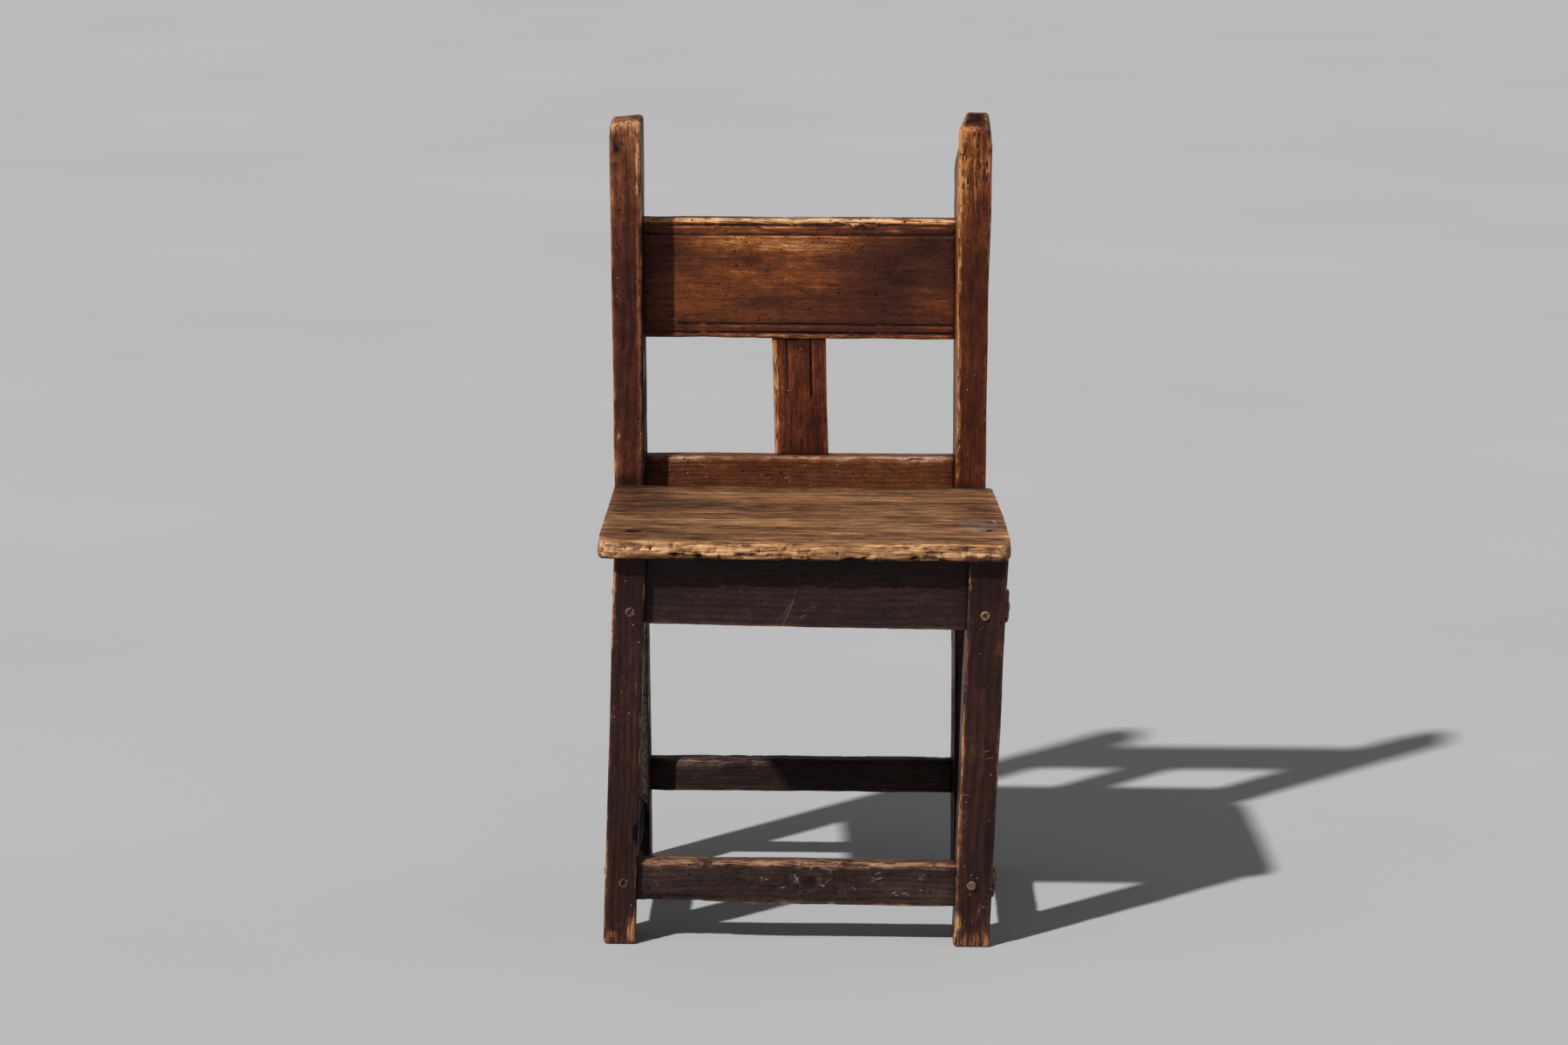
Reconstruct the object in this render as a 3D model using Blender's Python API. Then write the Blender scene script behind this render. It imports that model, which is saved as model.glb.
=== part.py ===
"""Rustic child's chair: pegged mortise and tenon frame, nailed seat board, back with one splat."""

from math import cos, pi, sin

import bmesh
import bpy
from mathutils import Vector

# Drawing frame in metres: x to the viewer's right, y back from the front legs, z up from the floor
CLEARANCE = 0.0003
SOFTEN = 0.0016

# Main sizes: seat height, plan of the frame, stock of the uprights
SEAT_TOP = 0.3253
SEAT_THICKNESS = 0.0129
FRONT_WIDTH = 0.3068
BACK_WIDTH = 0.2966
FRAME_DEPTH = 0.2368
LEG_DEPTH = 0.0420
POST_DEPTH = 0.0470

# How far the old frame has moved: middle of each pair, lean of each upright, rake of the posts
FRONT_MIDDLE = 0.0063
BACK_MIDDLE = 0.0025
LEFT_LEG_WIDTH = (0.0252, 0.0251)
RIGHT_LEG_WIDTH = (0.0283, 0.0305)
LEFT_POST_WIDTH = (0.0243, 0.0253)
RIGHT_POST_WIDTH = (0.0237, 0.0286)
LEFT_LEG_LEAN = 0.0070
RIGHT_LEG_LEAN = 0.0105
LEFT_POST_LEAN = -0.0130
RIGHT_POST_LEAN = 0.0004
POST_RAKE = 0.040

# Seat board
SEAT_OVERHANG_FRONT = 0.0151
SEAT_OVERHANG_LEFT = 0.0132
SEAT_OVERHANG_RIGHT = 0.0021
SEAT_REAR_LEFT = 0.0002
SEAT_REAR_RIGHT = 0.0048
SEAT_CORNER = 0.0060
SEAT_REAR_GAP = (0.0022, 0.0006)
SEAT_NOSE = 0.0045

# Tenons as rise above the rail's lower edge and height; pegs
TENON = 0.0080
BLIND_REACH = 0.0155
TENON_PROUD = 0.0019
MORTISE_END = 0.0010
FRONT_PEG_RADIUS = 0.0037
FRONT_PEG_LENGTH = 0.0230
SIDE_PEG_RADIUS = 0.0030
SIDE_PEG_BEYOND = 0.0035
PEG_PROUD = 0.0010
PEG_SIDES = 12

# Rails under the seat, hung from the underside of the seat board
FRONT_RAIL_SETBACK = 0.0086
FRONT_RAIL_THICKNESS = 0.018
FRONT_RAIL_HEIGHT = (0.0565, 0.0601)
FRONT_RAIL_TENON = (0.0044, 0.0255)
SIDE_RAIL_THICKNESS = 0.019
SIDE_RAIL_HEIGHT = 0.0571
SIDE_RAIL_TENON = (0.0070, 0.0280)
REAR_RAIL_SETBACK = 0.0190
REAR_RAIL_THICKNESS = 0.018
REAR_RAIL_HEIGHT = 0.0501
REAR_RAIL_TENON = (0.0060, 0.0320)

# Stretchers near the floor
FRONT_STRETCHER_SETBACK = 0.0055
FRONT_STRETCHER_THICKNESS = 0.016
FRONT_STRETCHER_BOTTOM = (0.0328, 0.0315)
FRONT_STRETCHER_HEIGHT = 0.0349
FRONT_STRETCHER_TENON = (0.0062, 0.0239)
SIDE_STRETCHER_THICKNESS = 0.017
SIDE_STRETCHER_BOTTOM = (0.0380, 0.0420)
SIDE_STRETCHER_HEIGHT = 0.026
SIDE_STRETCHER_TENON = (0.0040, 0.0180)
REAR_STRETCHER_SETBACK = 0.0275
REAR_STRETCHER_THICKNESS = 0.0185
REAR_STRETCHER_BOTTOM = 0.0642
REAR_STRETCHER_HEIGHT = (0.0263, 0.0276)
REAR_STRETCHER_TENON = (0.0043, 0.0180)
REAR_STRETCHER_SOFTEN = 0.0022

# Back, stacked up from the rear seat rail: lower rail, splat, crest board, post tops
LOWER_RAIL_SETBACK = 0.0245
LOWER_RAIL_THICKNESS = 0.0210
LOWER_RAIL_HEIGHT = (0.0321, 0.0330)
LOWER_RAIL_TENON = (0.0070, 0.0180)
SPLAT_HEIGHT = 0.0955
SPLAT_WIDTH = 0.0444
SPLAT_THICKNESS = 0.009
SPLAT_SETBACK = 0.0345
SPLAT_OFFSET = 0.0011
SPLAT_TILT = 0.0030
SPLAT_TONGUE = 0.0050
SPLAT_TONGUE_SIDE = 0.0045
SPLAT_TONGUE_REACH = 0.0085
CREST_HEIGHT = (0.0988, 0.0998)
CREST_THICKNESS = 0.0135
CREST_SETBACK = 0.0325
CREST_TENON = (0.0100, 0.0787)
LEFT_POST_HORN = (0.0804, 0.0809)
RIGHT_POST_HORN = (0.0766, 0.0821)

# Scratch lines: distance in from the edges of the crest, places across the splat, length down it
CREST_LINE_INSETS = (0.0050, 0.0125)
SPLAT_LINES = ((-0.0094, -0.0101), (0.0110, 0.0095))
SPLAT_LINE_LENGTH = 0.0450
LINE_HALF_WIDTH = 0.0010
LINE_DEPTH = 0.0008

# Nails, placed from the nearest corner of the seat board
NAIL_HEAD_RADIUS = 0.0030
NAIL_HEAD_THICKNESS = 0.0014
NAIL_SHANK_RADIUS = 0.0014
NAIL_LENGTH = 0.031
NAIL_SINK = 0.0006
NAIL_SIDES = 10
NAIL_LEFT = (0.0274, 0.0486)
NAIL_RIGHT = (0.0158, 0.0670)

# Levels and plan that follow from the sizes above
SEAT_BOTTOM = SEAT_TOP - SEAT_THICKNESS
FRAME_TOP = SEAT_BOTTOM - CLEARANCE
LOWER_RAIL_BOTTOM = FRAME_TOP + CLEARANCE
LOWER_RAIL_TOP = tuple(LOWER_RAIL_BOTTOM + height for height in LOWER_RAIL_HEIGHT)
CREST_BOTTOM = max(LOWER_RAIL_TOP) + SPLAT_HEIGHT
CREST_TOP = tuple(CREST_BOTTOM + height for height in CREST_HEIGHT)
LEFT_POST_TOP = tuple(CREST_TOP[0] + horn for horn in LEFT_POST_HORN)
RIGHT_POST_TOP = tuple(CREST_TOP[1] + horn for horn in RIGHT_POST_HORN)
POST_HEIGHT = max(LEFT_POST_TOP + RIGHT_POST_TOP)
SEAT_LEFT = FRONT_MIDDLE - FRONT_WIDTH / 2 - SEAT_OVERHANG_LEFT
SEAT_RIGHT = FRONT_MIDDLE + FRONT_WIDTH / 2 + SEAT_OVERHANG_RIGHT
SEAT_FRONT = -SEAT_OVERHANG_FRONT
CENTRE_X = (SEAT_LEFT + SEAT_RIGHT) / 2
CENTRE_Y = (SEAT_FRONT + FRAME_DEPTH + POST_RAKE * POST_HEIGHT + POST_DEPTH) / 2

# Clear the scene
for old in list(bpy.data.objects):
    bpy.data.objects.remove(old, do_unlink=True)


def make_material(name, colour, roughness, metallic=0.0):
    """One Principled material for one piece."""
    material = bpy.data.materials.new(name + "_finish")
    material.use_nodes = True
    shader = material.node_tree.nodes["Principled BSDF"]
    shader.inputs["Base Color"].default_value = (*colour, 1.0)
    shader.inputs["Roughness"].default_value = roughness
    shader.inputs["Metallic"].default_value = metallic
    return material


WOOD = (0.105, 0.042, 0.022)
PALE_WOOD = (0.220, 0.110, 0.055)
IRON = (0.030, 0.026, 0.024)


def loft(name, rings, soft_spans=(), soft_rings=(), soften=SOFTEN, colour=WOOD, metallic=0.0):
    """Closed solid through rings of points; chosen spans and rings have softened arrises."""
    count = len(rings[0])
    flat = [Vector(point) for ring in rings for point in ring]
    origin = sum(flat, Vector()) / len(flat)
    mesh = bpy.data.meshes.new(name)
    shape = bmesh.new()
    verts = [shape.verts.new(point - origin) for point in flat]
    weight = shape.edges.layers.float.new("bevel_weight_edge")
    for ring in range(len(rings) - 1):
        for i in range(count):
            j = (i + 1) % count
            a = ring * count
            b = a + count
            shape.faces.new((verts[a + i], verts[a + j], verts[b + j], verts[b + i]))
    shape.faces.new(verts[:count])
    shape.faces.new(verts[-count:])
    for ring in soft_spans:
        for i in range(count):
            edge = shape.edges.get((verts[ring * count + i], verts[(ring + 1) * count + i]))
            edge[weight] = 1.0
    for ring, share in soft_rings:
        for i in range(count):
            j = (i + 1) % count
            edge = shape.edges.get((verts[ring * count + i], verts[ring * count + j]))
            edge[weight] = share
    bmesh.ops.recalc_face_normals(shape, faces=shape.faces)
    shape.to_mesh(mesh)
    shape.free()
    piece = bpy.data.objects.new(name, mesh)
    piece.location = origin - Vector((CENTRE_X, CENTRE_Y, 0.0))
    bpy.context.scene.collection.objects.link(piece)
    piece.data.materials.append(make_material(name, colour, 0.55, metallic))
    if soft_spans or soft_rings:
        bevel = piece.modifiers.new("softened arrises", "BEVEL")
        bevel.limit_method = "WEIGHT"
        bevel.width = soften
        bevel.segments = 2
    return piece


def cutter(name, rings):
    """A solid that only cuts: never rendered, drawn as wire."""
    tool = loft(name, rings)
    tool.hide_render = True
    tool.display_type = "WIRE"
    return tool


def cut(piece, tool):
    """Take the tool away from the piece."""
    modifier = piece.modifiers.new("cut " + tool.name, "BOOLEAN")
    modifier.operation = "DIFFERENCE"
    modifier.solver = "EXACT"
    modifier.object = tool


class Upright:
    """A leg or a post: its faces are straight lines in z from the foot to the given height."""

    def __init__(self, name, side, foot_outer, lean, width, height, front=0.0, rake=0.0, depth=LEG_DEPTH):
        self.name = name
        self.side = side
        self.foot_outer = foot_outer
        self.lean = lean
        self.width = width
        self.height = height
        self.foot_front = front
        self.rake = rake
        self.depth = depth

    def outer(self, z):
        return self.foot_outer + self.lean * z / self.height

    def inner(self, z):
        width = self.width[0] + (self.width[1] - self.width[0]) * z / self.height
        return self.outer(z) - self.side * width

    def middle(self, z):
        return (self.outer(z) + self.inner(z)) / 2

    def front(self, z):
        return self.foot_front + self.rake * z

    def back(self, z):
        return self.front(z) + self.depth

    def build(self, top, soft_rings):
        """Straight stick from the level foot to a top whose front and back edges may differ."""
        rings = []
        for z_front, z_back in ((0.0, 0.0), top):
            rings.append([
                (self.outer(z_front), self.front(z_front), z_front),
                (self.inner(z_front), self.front(z_front), z_front),
                (self.inner(z_back), self.back(z_back), z_back),
                (self.outer(z_back), self.back(z_back), z_back),
            ])
        return loft(self.name, rings, soft_spans=(0,), soft_rings=soft_rings)


# Front legs, both leaning a little to the left at the foot, and rear posts raked backward
leg_left = Upright(
    "front_leg_left", -1, FRONT_MIDDLE - FRONT_WIDTH / 2 - LEFT_LEG_LEAN,
    LEFT_LEG_LEAN, LEFT_LEG_WIDTH, FRAME_TOP,
)
leg_right = Upright(
    "front_leg_right", 1, FRONT_MIDDLE + FRONT_WIDTH / 2 - RIGHT_LEG_LEAN,
    RIGHT_LEG_LEAN, RIGHT_LEG_WIDTH, FRAME_TOP,
)
post_left = Upright(
    "rear_post_left", -1, BACK_MIDDLE - BACK_WIDTH / 2, LEFT_POST_LEAN, LEFT_POST_WIDTH, POST_HEIGHT,
    FRAME_DEPTH, POST_RAKE, POST_DEPTH,
)
post_right = Upright(
    "rear_post_right", 1, BACK_MIDDLE + BACK_WIDTH / 2, RIGHT_POST_LEAN, RIGHT_POST_WIDTH, POST_HEIGHT,
    FRAME_DEPTH, POST_RAKE, POST_DEPTH,
)
uprights = {}
for leg in (leg_left, leg_right):
    uprights[leg.name] = leg.build((FRAME_TOP, FRAME_TOP), ((0, 0.7),))
for post, top in ((post_left, LEFT_POST_TOP), (post_right, RIGHT_POST_TOP)):
    uprights[post.name] = post.build(top, ((0, 0.7), (1, 1.0)))


class Rail:
    """A stick with a tenon at each end, running from a face of one upright to a face of another."""

    def __init__(self, name, place, start, end, cross, bottom, top, tenon):
        self.name = name
        self.place = place
        self.faces = (start, end)
        self.cross = cross
        self.bottom = bottom
        self.top = top
        middle = (cross[0] + cross[1]) / 2
        self.tenon_cross = (middle - TENON / 2, middle + TENON / 2)
        low = (bottom[0] + bottom[1]) / 2 + tenon[0]
        self.tenon_z = (low, low + tenon[1])

    def tenon_middle(self):
        return (self.tenon_z[0] + self.tenon_z[1]) / 2

    def section(self, side, cross, bottom, top):
        """Rectangle lying along the face at one end, held off it by the clearance."""
        gap = CLEARANCE if side == 0 else -CLEARANCE
        corners = ((cross[0], bottom), (cross[1], bottom), (cross[1], top), (cross[0], top))
        return [self.place(self.faces[side](z) + gap, c, z) for c, z in corners]

    def end_section(self, grow, along):
        """Rectangle of the tenon, grown all round, square across at a fixed place along."""
        c0 = self.tenon_cross[0] - grow
        c1 = self.tenon_cross[1] + grow
        z0 = self.tenon_z[0] - grow
        z1 = self.tenon_z[1] + grow
        return [self.place(along, c, z) for c, z in ((c0, z0), (c1, z0), (c1, z1), (c0, z1))]

    def inside(self, side, reach):
        """Place along the rail at a distance into the upright from its face."""
        face = self.faces[side](self.tenon_middle())
        return face - reach if side == 0 else face + reach

    def build(self, reaches, soften=SOFTEN):
        root = [self.section(s, self.tenon_cross, *self.tenon_z) for s in (0, 1)]
        body = [self.section(s, self.cross, self.bottom[s], self.top[s]) for s in (0, 1)]
        tips = [self.end_section(0.0, self.inside(s, reaches[s])) for s in (0, 1)]
        rings = [tips[0], root[0], body[0], body[1], root[1], tips[1]]
        return loft(self.name, rings, soft_spans=(2,), soften=soften)

    def mortise(self, side, reach):
        """Cutter for the socket: the tenon grown by the clearance, a little deeper than the tip."""
        mouth = self.end_section(CLEARANCE, self.inside(side, -TENON / 2))
        end = self.end_section(CLEARANCE, self.inside(side, reach + MORTISE_END))
        return cutter(f"{self.name}_mortise_{side}", [mouth, end])


def across(upright):
    """Place points of a rail that runs in x, measured back from an upright's front face."""
    return lambda along, cross, z: (along, upright.front(z) + cross, z)


def backward(leg, post, level):
    """Place points of a rail that runs in y, from the middle of a leg to the middle of a post."""
    start = leg.back(level)
    run = post.front(level) - start
    splay = post.middle(level) - leg.middle(level)
    return lambda along, cross, z: (leg.middle(level) + splay * (along - start) / run + cross, along, z)


pieces = {}
rails = {}


def cross_rail(name, left, right, setback, thickness, bottom, top, tenon, soften=SOFTEN, through=False):
    """Rail in x between two uprights, mortised into both; a through tenon shows at the right."""
    cross = (setback, setback + thickness)
    rail = Rail(name, across(left), left.inner, right.inner, cross, bottom, top, tenon)
    z = rail.tenon_middle()
    reaches = [BLIND_REACH, BLIND_REACH]
    depths = [BLIND_REACH, BLIND_REACH]
    if through:
        reaches[1] = abs(right.outer(z) - right.inner(z)) + TENON_PROUD
        depths[1] = reaches[1] + TENON_PROUD
    rails[name] = rail
    pieces[name] = rail.build(reaches, soften)
    cut(uprights[left.name], rail.mortise(0, depths[0]))
    cut(uprights[right.name], rail.mortise(1, depths[1]))


def side_rail(name, leg, post, thickness, bottom, top, tenon):
    """Rail in y from the back of a front leg to the front of a rear post."""
    place = backward(leg, post, (bottom + top) / 2)
    cross = (-thickness / 2, thickness / 2)
    rail = Rail(name, place, leg.back, post.front, cross, (bottom, bottom), (top, top), tenon)
    rails[name] = rail
    pieces[name] = rail.build((BLIND_REACH, BLIND_REACH))
    cut(uprights[leg.name], rail.mortise(0, BLIND_REACH))
    cut(uprights[post.name], rail.mortise(1, BLIND_REACH))


# Rails under the seat
seat_level = (FRAME_TOP, FRAME_TOP)
cross_rail(
    "front_seat_rail", leg_left, leg_right, FRONT_RAIL_SETBACK, FRONT_RAIL_THICKNESS,
    tuple(FRAME_TOP - height for height in FRONT_RAIL_HEIGHT), seat_level, FRONT_RAIL_TENON, through=True,
)
cross_rail(
    "rear_seat_rail", post_left, post_right, REAR_RAIL_SETBACK, REAR_RAIL_THICKNESS,
    (FRAME_TOP - REAR_RAIL_HEIGHT, FRAME_TOP - REAR_RAIL_HEIGHT), seat_level, REAR_RAIL_TENON,
)

# Stretchers near the floor
cross_rail(
    "front_stretcher", leg_left, leg_right, FRONT_STRETCHER_SETBACK, FRONT_STRETCHER_THICKNESS,
    FRONT_STRETCHER_BOTTOM, tuple(z + FRONT_STRETCHER_HEIGHT for z in FRONT_STRETCHER_BOTTOM),
    FRONT_STRETCHER_TENON, through=True,
)
cross_rail(
    "rear_stretcher", post_left, post_right, REAR_STRETCHER_SETBACK, REAR_STRETCHER_THICKNESS,
    (REAR_STRETCHER_BOTTOM, REAR_STRETCHER_BOTTOM),
    tuple(REAR_STRETCHER_BOTTOM + height for height in REAR_STRETCHER_HEIGHT),
    REAR_STRETCHER_TENON, soften=REAR_STRETCHER_SOFTEN,
)
SIDES = {"left": (leg_left, post_left), "right": (leg_right, post_right)}
for i, (side, (leg, post)) in enumerate(SIDES.items()):
    side_rail(
        f"side_seat_rail_{side}", leg, post, SIDE_RAIL_THICKNESS,
        FRAME_TOP - SIDE_RAIL_HEIGHT, FRAME_TOP, SIDE_RAIL_TENON,
    )
    side_rail(
        f"side_stretcher_{side}", leg, post, SIDE_STRETCHER_THICKNESS,
        SIDE_STRETCHER_BOTTOM[i], SIDE_STRETCHER_BOTTOM[i] + SIDE_STRETCHER_HEIGHT, SIDE_STRETCHER_TENON,
    )

# Back: crest rail, lower rail standing on the rear seat rail, and the splat tongued into both
cross_rail(
    "crest_rail", post_left, post_right, CREST_SETBACK, CREST_THICKNESS,
    (CREST_BOTTOM, CREST_BOTTOM), CREST_TOP, CREST_TENON,
)
cross_rail(
    "lower_back_rail", post_left, post_right, LOWER_RAIL_SETBACK, LOWER_RAIL_THICKNESS,
    (LOWER_RAIL_BOTTOM, LOWER_RAIL_BOTTOM), LOWER_RAIL_TOP, LOWER_RAIL_TENON,
)


def splat_middle(z):
    """The splat stands a little out of plumb, its top to the left."""
    half_way = max(LOWER_RAIL_TOP) + SPLAT_HEIGHT / 2
    between = (post_left.inner(half_way) + post_right.inner(half_way)) / 2
    return between + SPLAT_OFFSET + SPLAT_TILT * (half_way - z) / SPLAT_HEIGHT


def splat_ring(z, setback, thickness, half, grow=0.0):
    """Level rectangle of the splat at one height, in the raked plane of the back."""
    x = splat_middle(z)
    y = post_left.front(z) + setback
    x0 = x - half - grow
    x1 = x + half + grow
    y0 = y - grow
    y1 = y + thickness + grow
    return [(x0, y0, z), (x1, y0, z), (x1, y1, z), (x0, y1, z)]


splat_low = max(LOWER_RAIL_TOP) + CLEARANCE
splat_high = CREST_BOTTOM - CLEARANCE
half = SPLAT_WIDTH / 2
tongue_half = half - SPLAT_TONGUE_SIDE
tongue_setback = SPLAT_SETBACK + (SPLAT_THICKNESS - SPLAT_TONGUE) / 2
tongue_low = splat_low - SPLAT_TONGUE_REACH
tongue_high = splat_high + SPLAT_TONGUE_REACH
splat = loft(
    "back_splat",
    [
        splat_ring(tongue_low, tongue_setback, SPLAT_TONGUE, tongue_half),
        splat_ring(splat_low, tongue_setback, SPLAT_TONGUE, tongue_half),
        splat_ring(splat_low, SPLAT_SETBACK, SPLAT_THICKNESS, half),
        splat_ring(splat_high, SPLAT_SETBACK, SPLAT_THICKNESS, half),
        splat_ring(splat_high, tongue_setback, SPLAT_TONGUE, tongue_half),
        splat_ring(tongue_high, tongue_setback, SPLAT_TONGUE, tongue_half),
    ],
    soft_spans=(2,),
)
for name, piece, mouth, end in (
    ("splat_socket_low", pieces["lower_back_rail"], splat_low + SPLAT_TONGUE, tongue_low - MORTISE_END),
    ("splat_socket_high", pieces["crest_rail"], splat_high - SPLAT_TONGUE, tongue_high + MORTISE_END),
):
    socket = [splat_ring(z, tongue_setback, SPLAT_TONGUE, tongue_half, CLEARANCE) for z in (mouth, end)]
    cut(piece, cutter(name, socket))

# Scratch lines cut along the crest and down the splat: a V cutter that starts in front of the face
line_lip = 2 * LINE_DEPTH
line_wide = 3 * LINE_HALF_WIDTH
crest_lines = [CREST_BOTTOM + inset for inset in CREST_LINE_INSETS]
crest_lines += [min(CREST_TOP) - inset for inset in CREST_LINE_INSETS]
for i, z in enumerate(crest_lines):
    y = post_left.front(z) + CREST_SETBACK
    ends = []
    for x in (post_left.inner(z) - CLEARANCE, post_right.inner(z) + CLEARANCE):
        lips = [(x, y - line_lip, z + side * line_wide) for side in (1, -1)]
        ends.append([(x, y + LINE_DEPTH, z), *lips])
    cut(pieces["crest_rail"], cutter(f"crest_line_{i}", ends))
for i, (x_low, x_high) in enumerate(SPLAT_LINES):
    ends = []
    for z, offset in ((splat_high - SPLAT_LINE_LENGTH, x_low), (splat_high + line_lip, x_high)):
        x = splat_middle(z) + offset
        y = post_left.front(z) + SPLAT_SETBACK
        lips = [(x + side * line_wide, y - line_lip, z) for side in (1, -1)]
        ends.append([(x, y + LINE_DEPTH, z), *lips])
    cut(splat, cutter(f"splat_line_{i}", ends))

# Seat board, butted against the posts, its right side bowed and its front edge rounded
rear_y = tuple(post_left.front(SEAT_BOTTOM) - gap for gap in SEAT_REAR_GAP)
rear_left = post_left.outer(SEAT_TOP) - SEAT_REAR_LEFT
rear_right = post_right.outer(SEAT_TOP) + SEAT_REAR_RIGHT
right_side = []
for share in (0.22, 0.48, 0.78):
    x = SEAT_RIGHT + (rear_right - SEAT_RIGHT) * share * share
    right_side.append((x, SEAT_FRONT + (rear_y[1] - SEAT_FRONT) * share))
seat_outline = [
    (SEAT_LEFT + SEAT_CORNER, SEAT_FRONT), (SEAT_RIGHT - SEAT_CORNER, SEAT_FRONT),
    (SEAT_RIGHT, SEAT_FRONT + SEAT_CORNER), *right_side, (rear_right, rear_y[1]),
    (rear_left, rear_y[0]), (SEAT_LEFT, SEAT_FRONT + SEAT_CORNER),
]
seat = loft("seat_board", [[(x, y, z) for x, y in seat_outline] for z in (SEAT_BOTTOM, SEAT_TOP)])
seat_weights = seat.data.attributes["bevel_weight_edge"].data
seat_shift = seat.location + Vector((CENTRE_X, CENTRE_Y, 0.0))
for edge in seat.data.edges:
    ends = [seat.data.vertices[i].co + seat_shift for i in edge.vertices]
    level = abs(ends[0].z - ends[1].z) < CLEARANCE
    upper = ends[0].z > SEAT_BOTTOM + SEAT_THICKNESS / 2
    front = all(end.y < SEAT_FRONT + SEAT_CORNER + CLEARANCE for end in ends)
    if level:
        seat_weights[edge.index].value = 1.0 if front and upper else 0.45
seat_bevel = seat.modifiers.new("rounded edges", "BEVEL")
seat_bevel.limit_method = "WEIGHT"
seat_bevel.width = SEAT_NOSE
seat_bevel.segments = 3


def round_ring(centre, axis, along, radius, sides):
    """Regular polygon across an axis, at a distance along it from the centre."""
    ring = []
    for i in range(sides):
        angle = 2 * pi * (i + 0.5) / sides
        u = radius * cos(angle)
        v = radius * sin(angle)
        if axis == "x":
            ring.append((centre[0] + along, centre[1] + u, centre[2] + v))
        elif axis == "y":
            ring.append((centre[0] + u, centre[1] + along, centre[2] + v))
        else:
            ring.append((centre[0] + u, centre[1] + v, centre[2] + along))
    return ring


def add_peg(name, face, axis, inward, length, radius, drilled):
    """Wooden peg driven through a face; it stands a little proud and is shaved narrow at its tip."""
    steps = ((-PEG_PROUD, 0.78), (-0.3 * PEG_PROUD, 1.0), (0.7 * length, 1.0), (length, 0.72))
    rings = [round_ring(face, axis, inward * d, radius * share, PEG_SIDES) for d, share in steps]
    loft(name, rings, colour=PALE_WOOD)
    bore = radius + CLEARANCE / cos(pi / PEG_SIDES)
    ends = (-4 * PEG_PROUD, length + MORTISE_END)
    tool = cutter(name + "_hole", [round_ring(face, axis, inward * d, bore, PEG_SIDES) for d in ends])
    for piece in drilled:
        cut(piece, tool)


# Pegs in the front faces of the front legs: distance in from the leg's inner face, share of tenon height
FRONT_PEGS = {
    "front_rail_peg_left": (leg_left, "front_seat_rail", 0.0114, 0.33),
    "front_rail_peg_right": (leg_right, "front_seat_rail", 0.0144, 0.31),
    "front_stretcher_peg_left": (leg_left, "front_stretcher", 0.0107, 0.48),
    "front_stretcher_peg_right": (leg_right, "front_stretcher", 0.0126, 0.50),
}
for name, (leg, rail, inset, share) in FRONT_PEGS.items():
    low, high = rails[rail].tenon_z
    z = low + (high - low) * share
    face = (leg.inner(z) + leg.side * inset, leg.front(z), z)
    add_peg(name, face, "y", 1.0, FRONT_PEG_LENGTH, FRONT_PEG_RADIUS, (uprights[leg.name], pieces[rail]))

# Pegs in the outer sides of legs and posts, through the tenons of the side rails
for side, (leg, post) in SIDES.items():
    for level in ("seat_rail", "stretcher"):
        rail = rails[f"side_{level}_{side}"]
        z = rail.tenon_middle()
        for place, upright, y in (
            ("front", leg, leg.back(z) - BLIND_REACH / 2),
            ("rear", post, post.front(z) + BLIND_REACH / 2),
        ):
            start = upright.outer(z)
            far = rail.place(y, -leg.side * TENON / 2, z)[0]
            drilled = (uprights[upright.name], pieces[rail.name])
            add_peg(
                f"side_{level}_peg_{side}_{place}", (start, y, z), "x", -leg.side,
                abs(far - start) + SIDE_PEG_BEYOND, SIDE_PEG_RADIUS, drilled,
            )

# Seat nails with sunk round heads
left_grip = uprights["front_leg_left"]
right_grip = pieces["side_seat_rail_right"]
NAILS = {
    "seat_nail_left": (SEAT_LEFT + NAIL_LEFT[0], SEAT_FRONT + NAIL_LEFT[1], left_grip),
    "seat_nail_right": (SEAT_RIGHT - NAIL_RIGHT[0], SEAT_FRONT + NAIL_RIGHT[1], right_grip),
}
for name, (x, y, grip) in NAILS.items():
    top = (x, y, SEAT_TOP - NAIL_SINK)
    neck = -NAIL_HEAD_THICKNESS
    steps = (
        (0.0, NAIL_HEAD_RADIUS * 0.8), (0.3 * neck, NAIL_HEAD_RADIUS), (neck, NAIL_HEAD_RADIUS),
        (neck, NAIL_SHANK_RADIUS), (-0.8 * NAIL_LENGTH, NAIL_SHANK_RADIUS),
        (-NAIL_LENGTH, 0.35 * NAIL_SHANK_RADIUS),
    )
    loft(name, [round_ring(top, "z", d, r, NAIL_SIDES) for d, r in steps], colour=IRON, metallic=0.8)
    grow = CLEARANCE / cos(pi / NAIL_SIDES)
    head = NAIL_HEAD_RADIUS + grow
    shank = NAIL_SHANK_RADIUS + grow
    steps = (
        (2 * NAIL_HEAD_THICKNESS, head), (neck - CLEARANCE, head),
        (neck - CLEARANCE, shank), (-NAIL_LENGTH - MORTISE_END, shank),
    )
    bore = cutter(name + "_bore", [round_ring(top, "z", d, r, NAIL_SIDES) for d, r in steps])
    cut(seat, bore)
    cut(grip, bore)
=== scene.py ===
import itertools

import bpy
import numpy as np
from mathutils import Matrix, Vector


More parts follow.
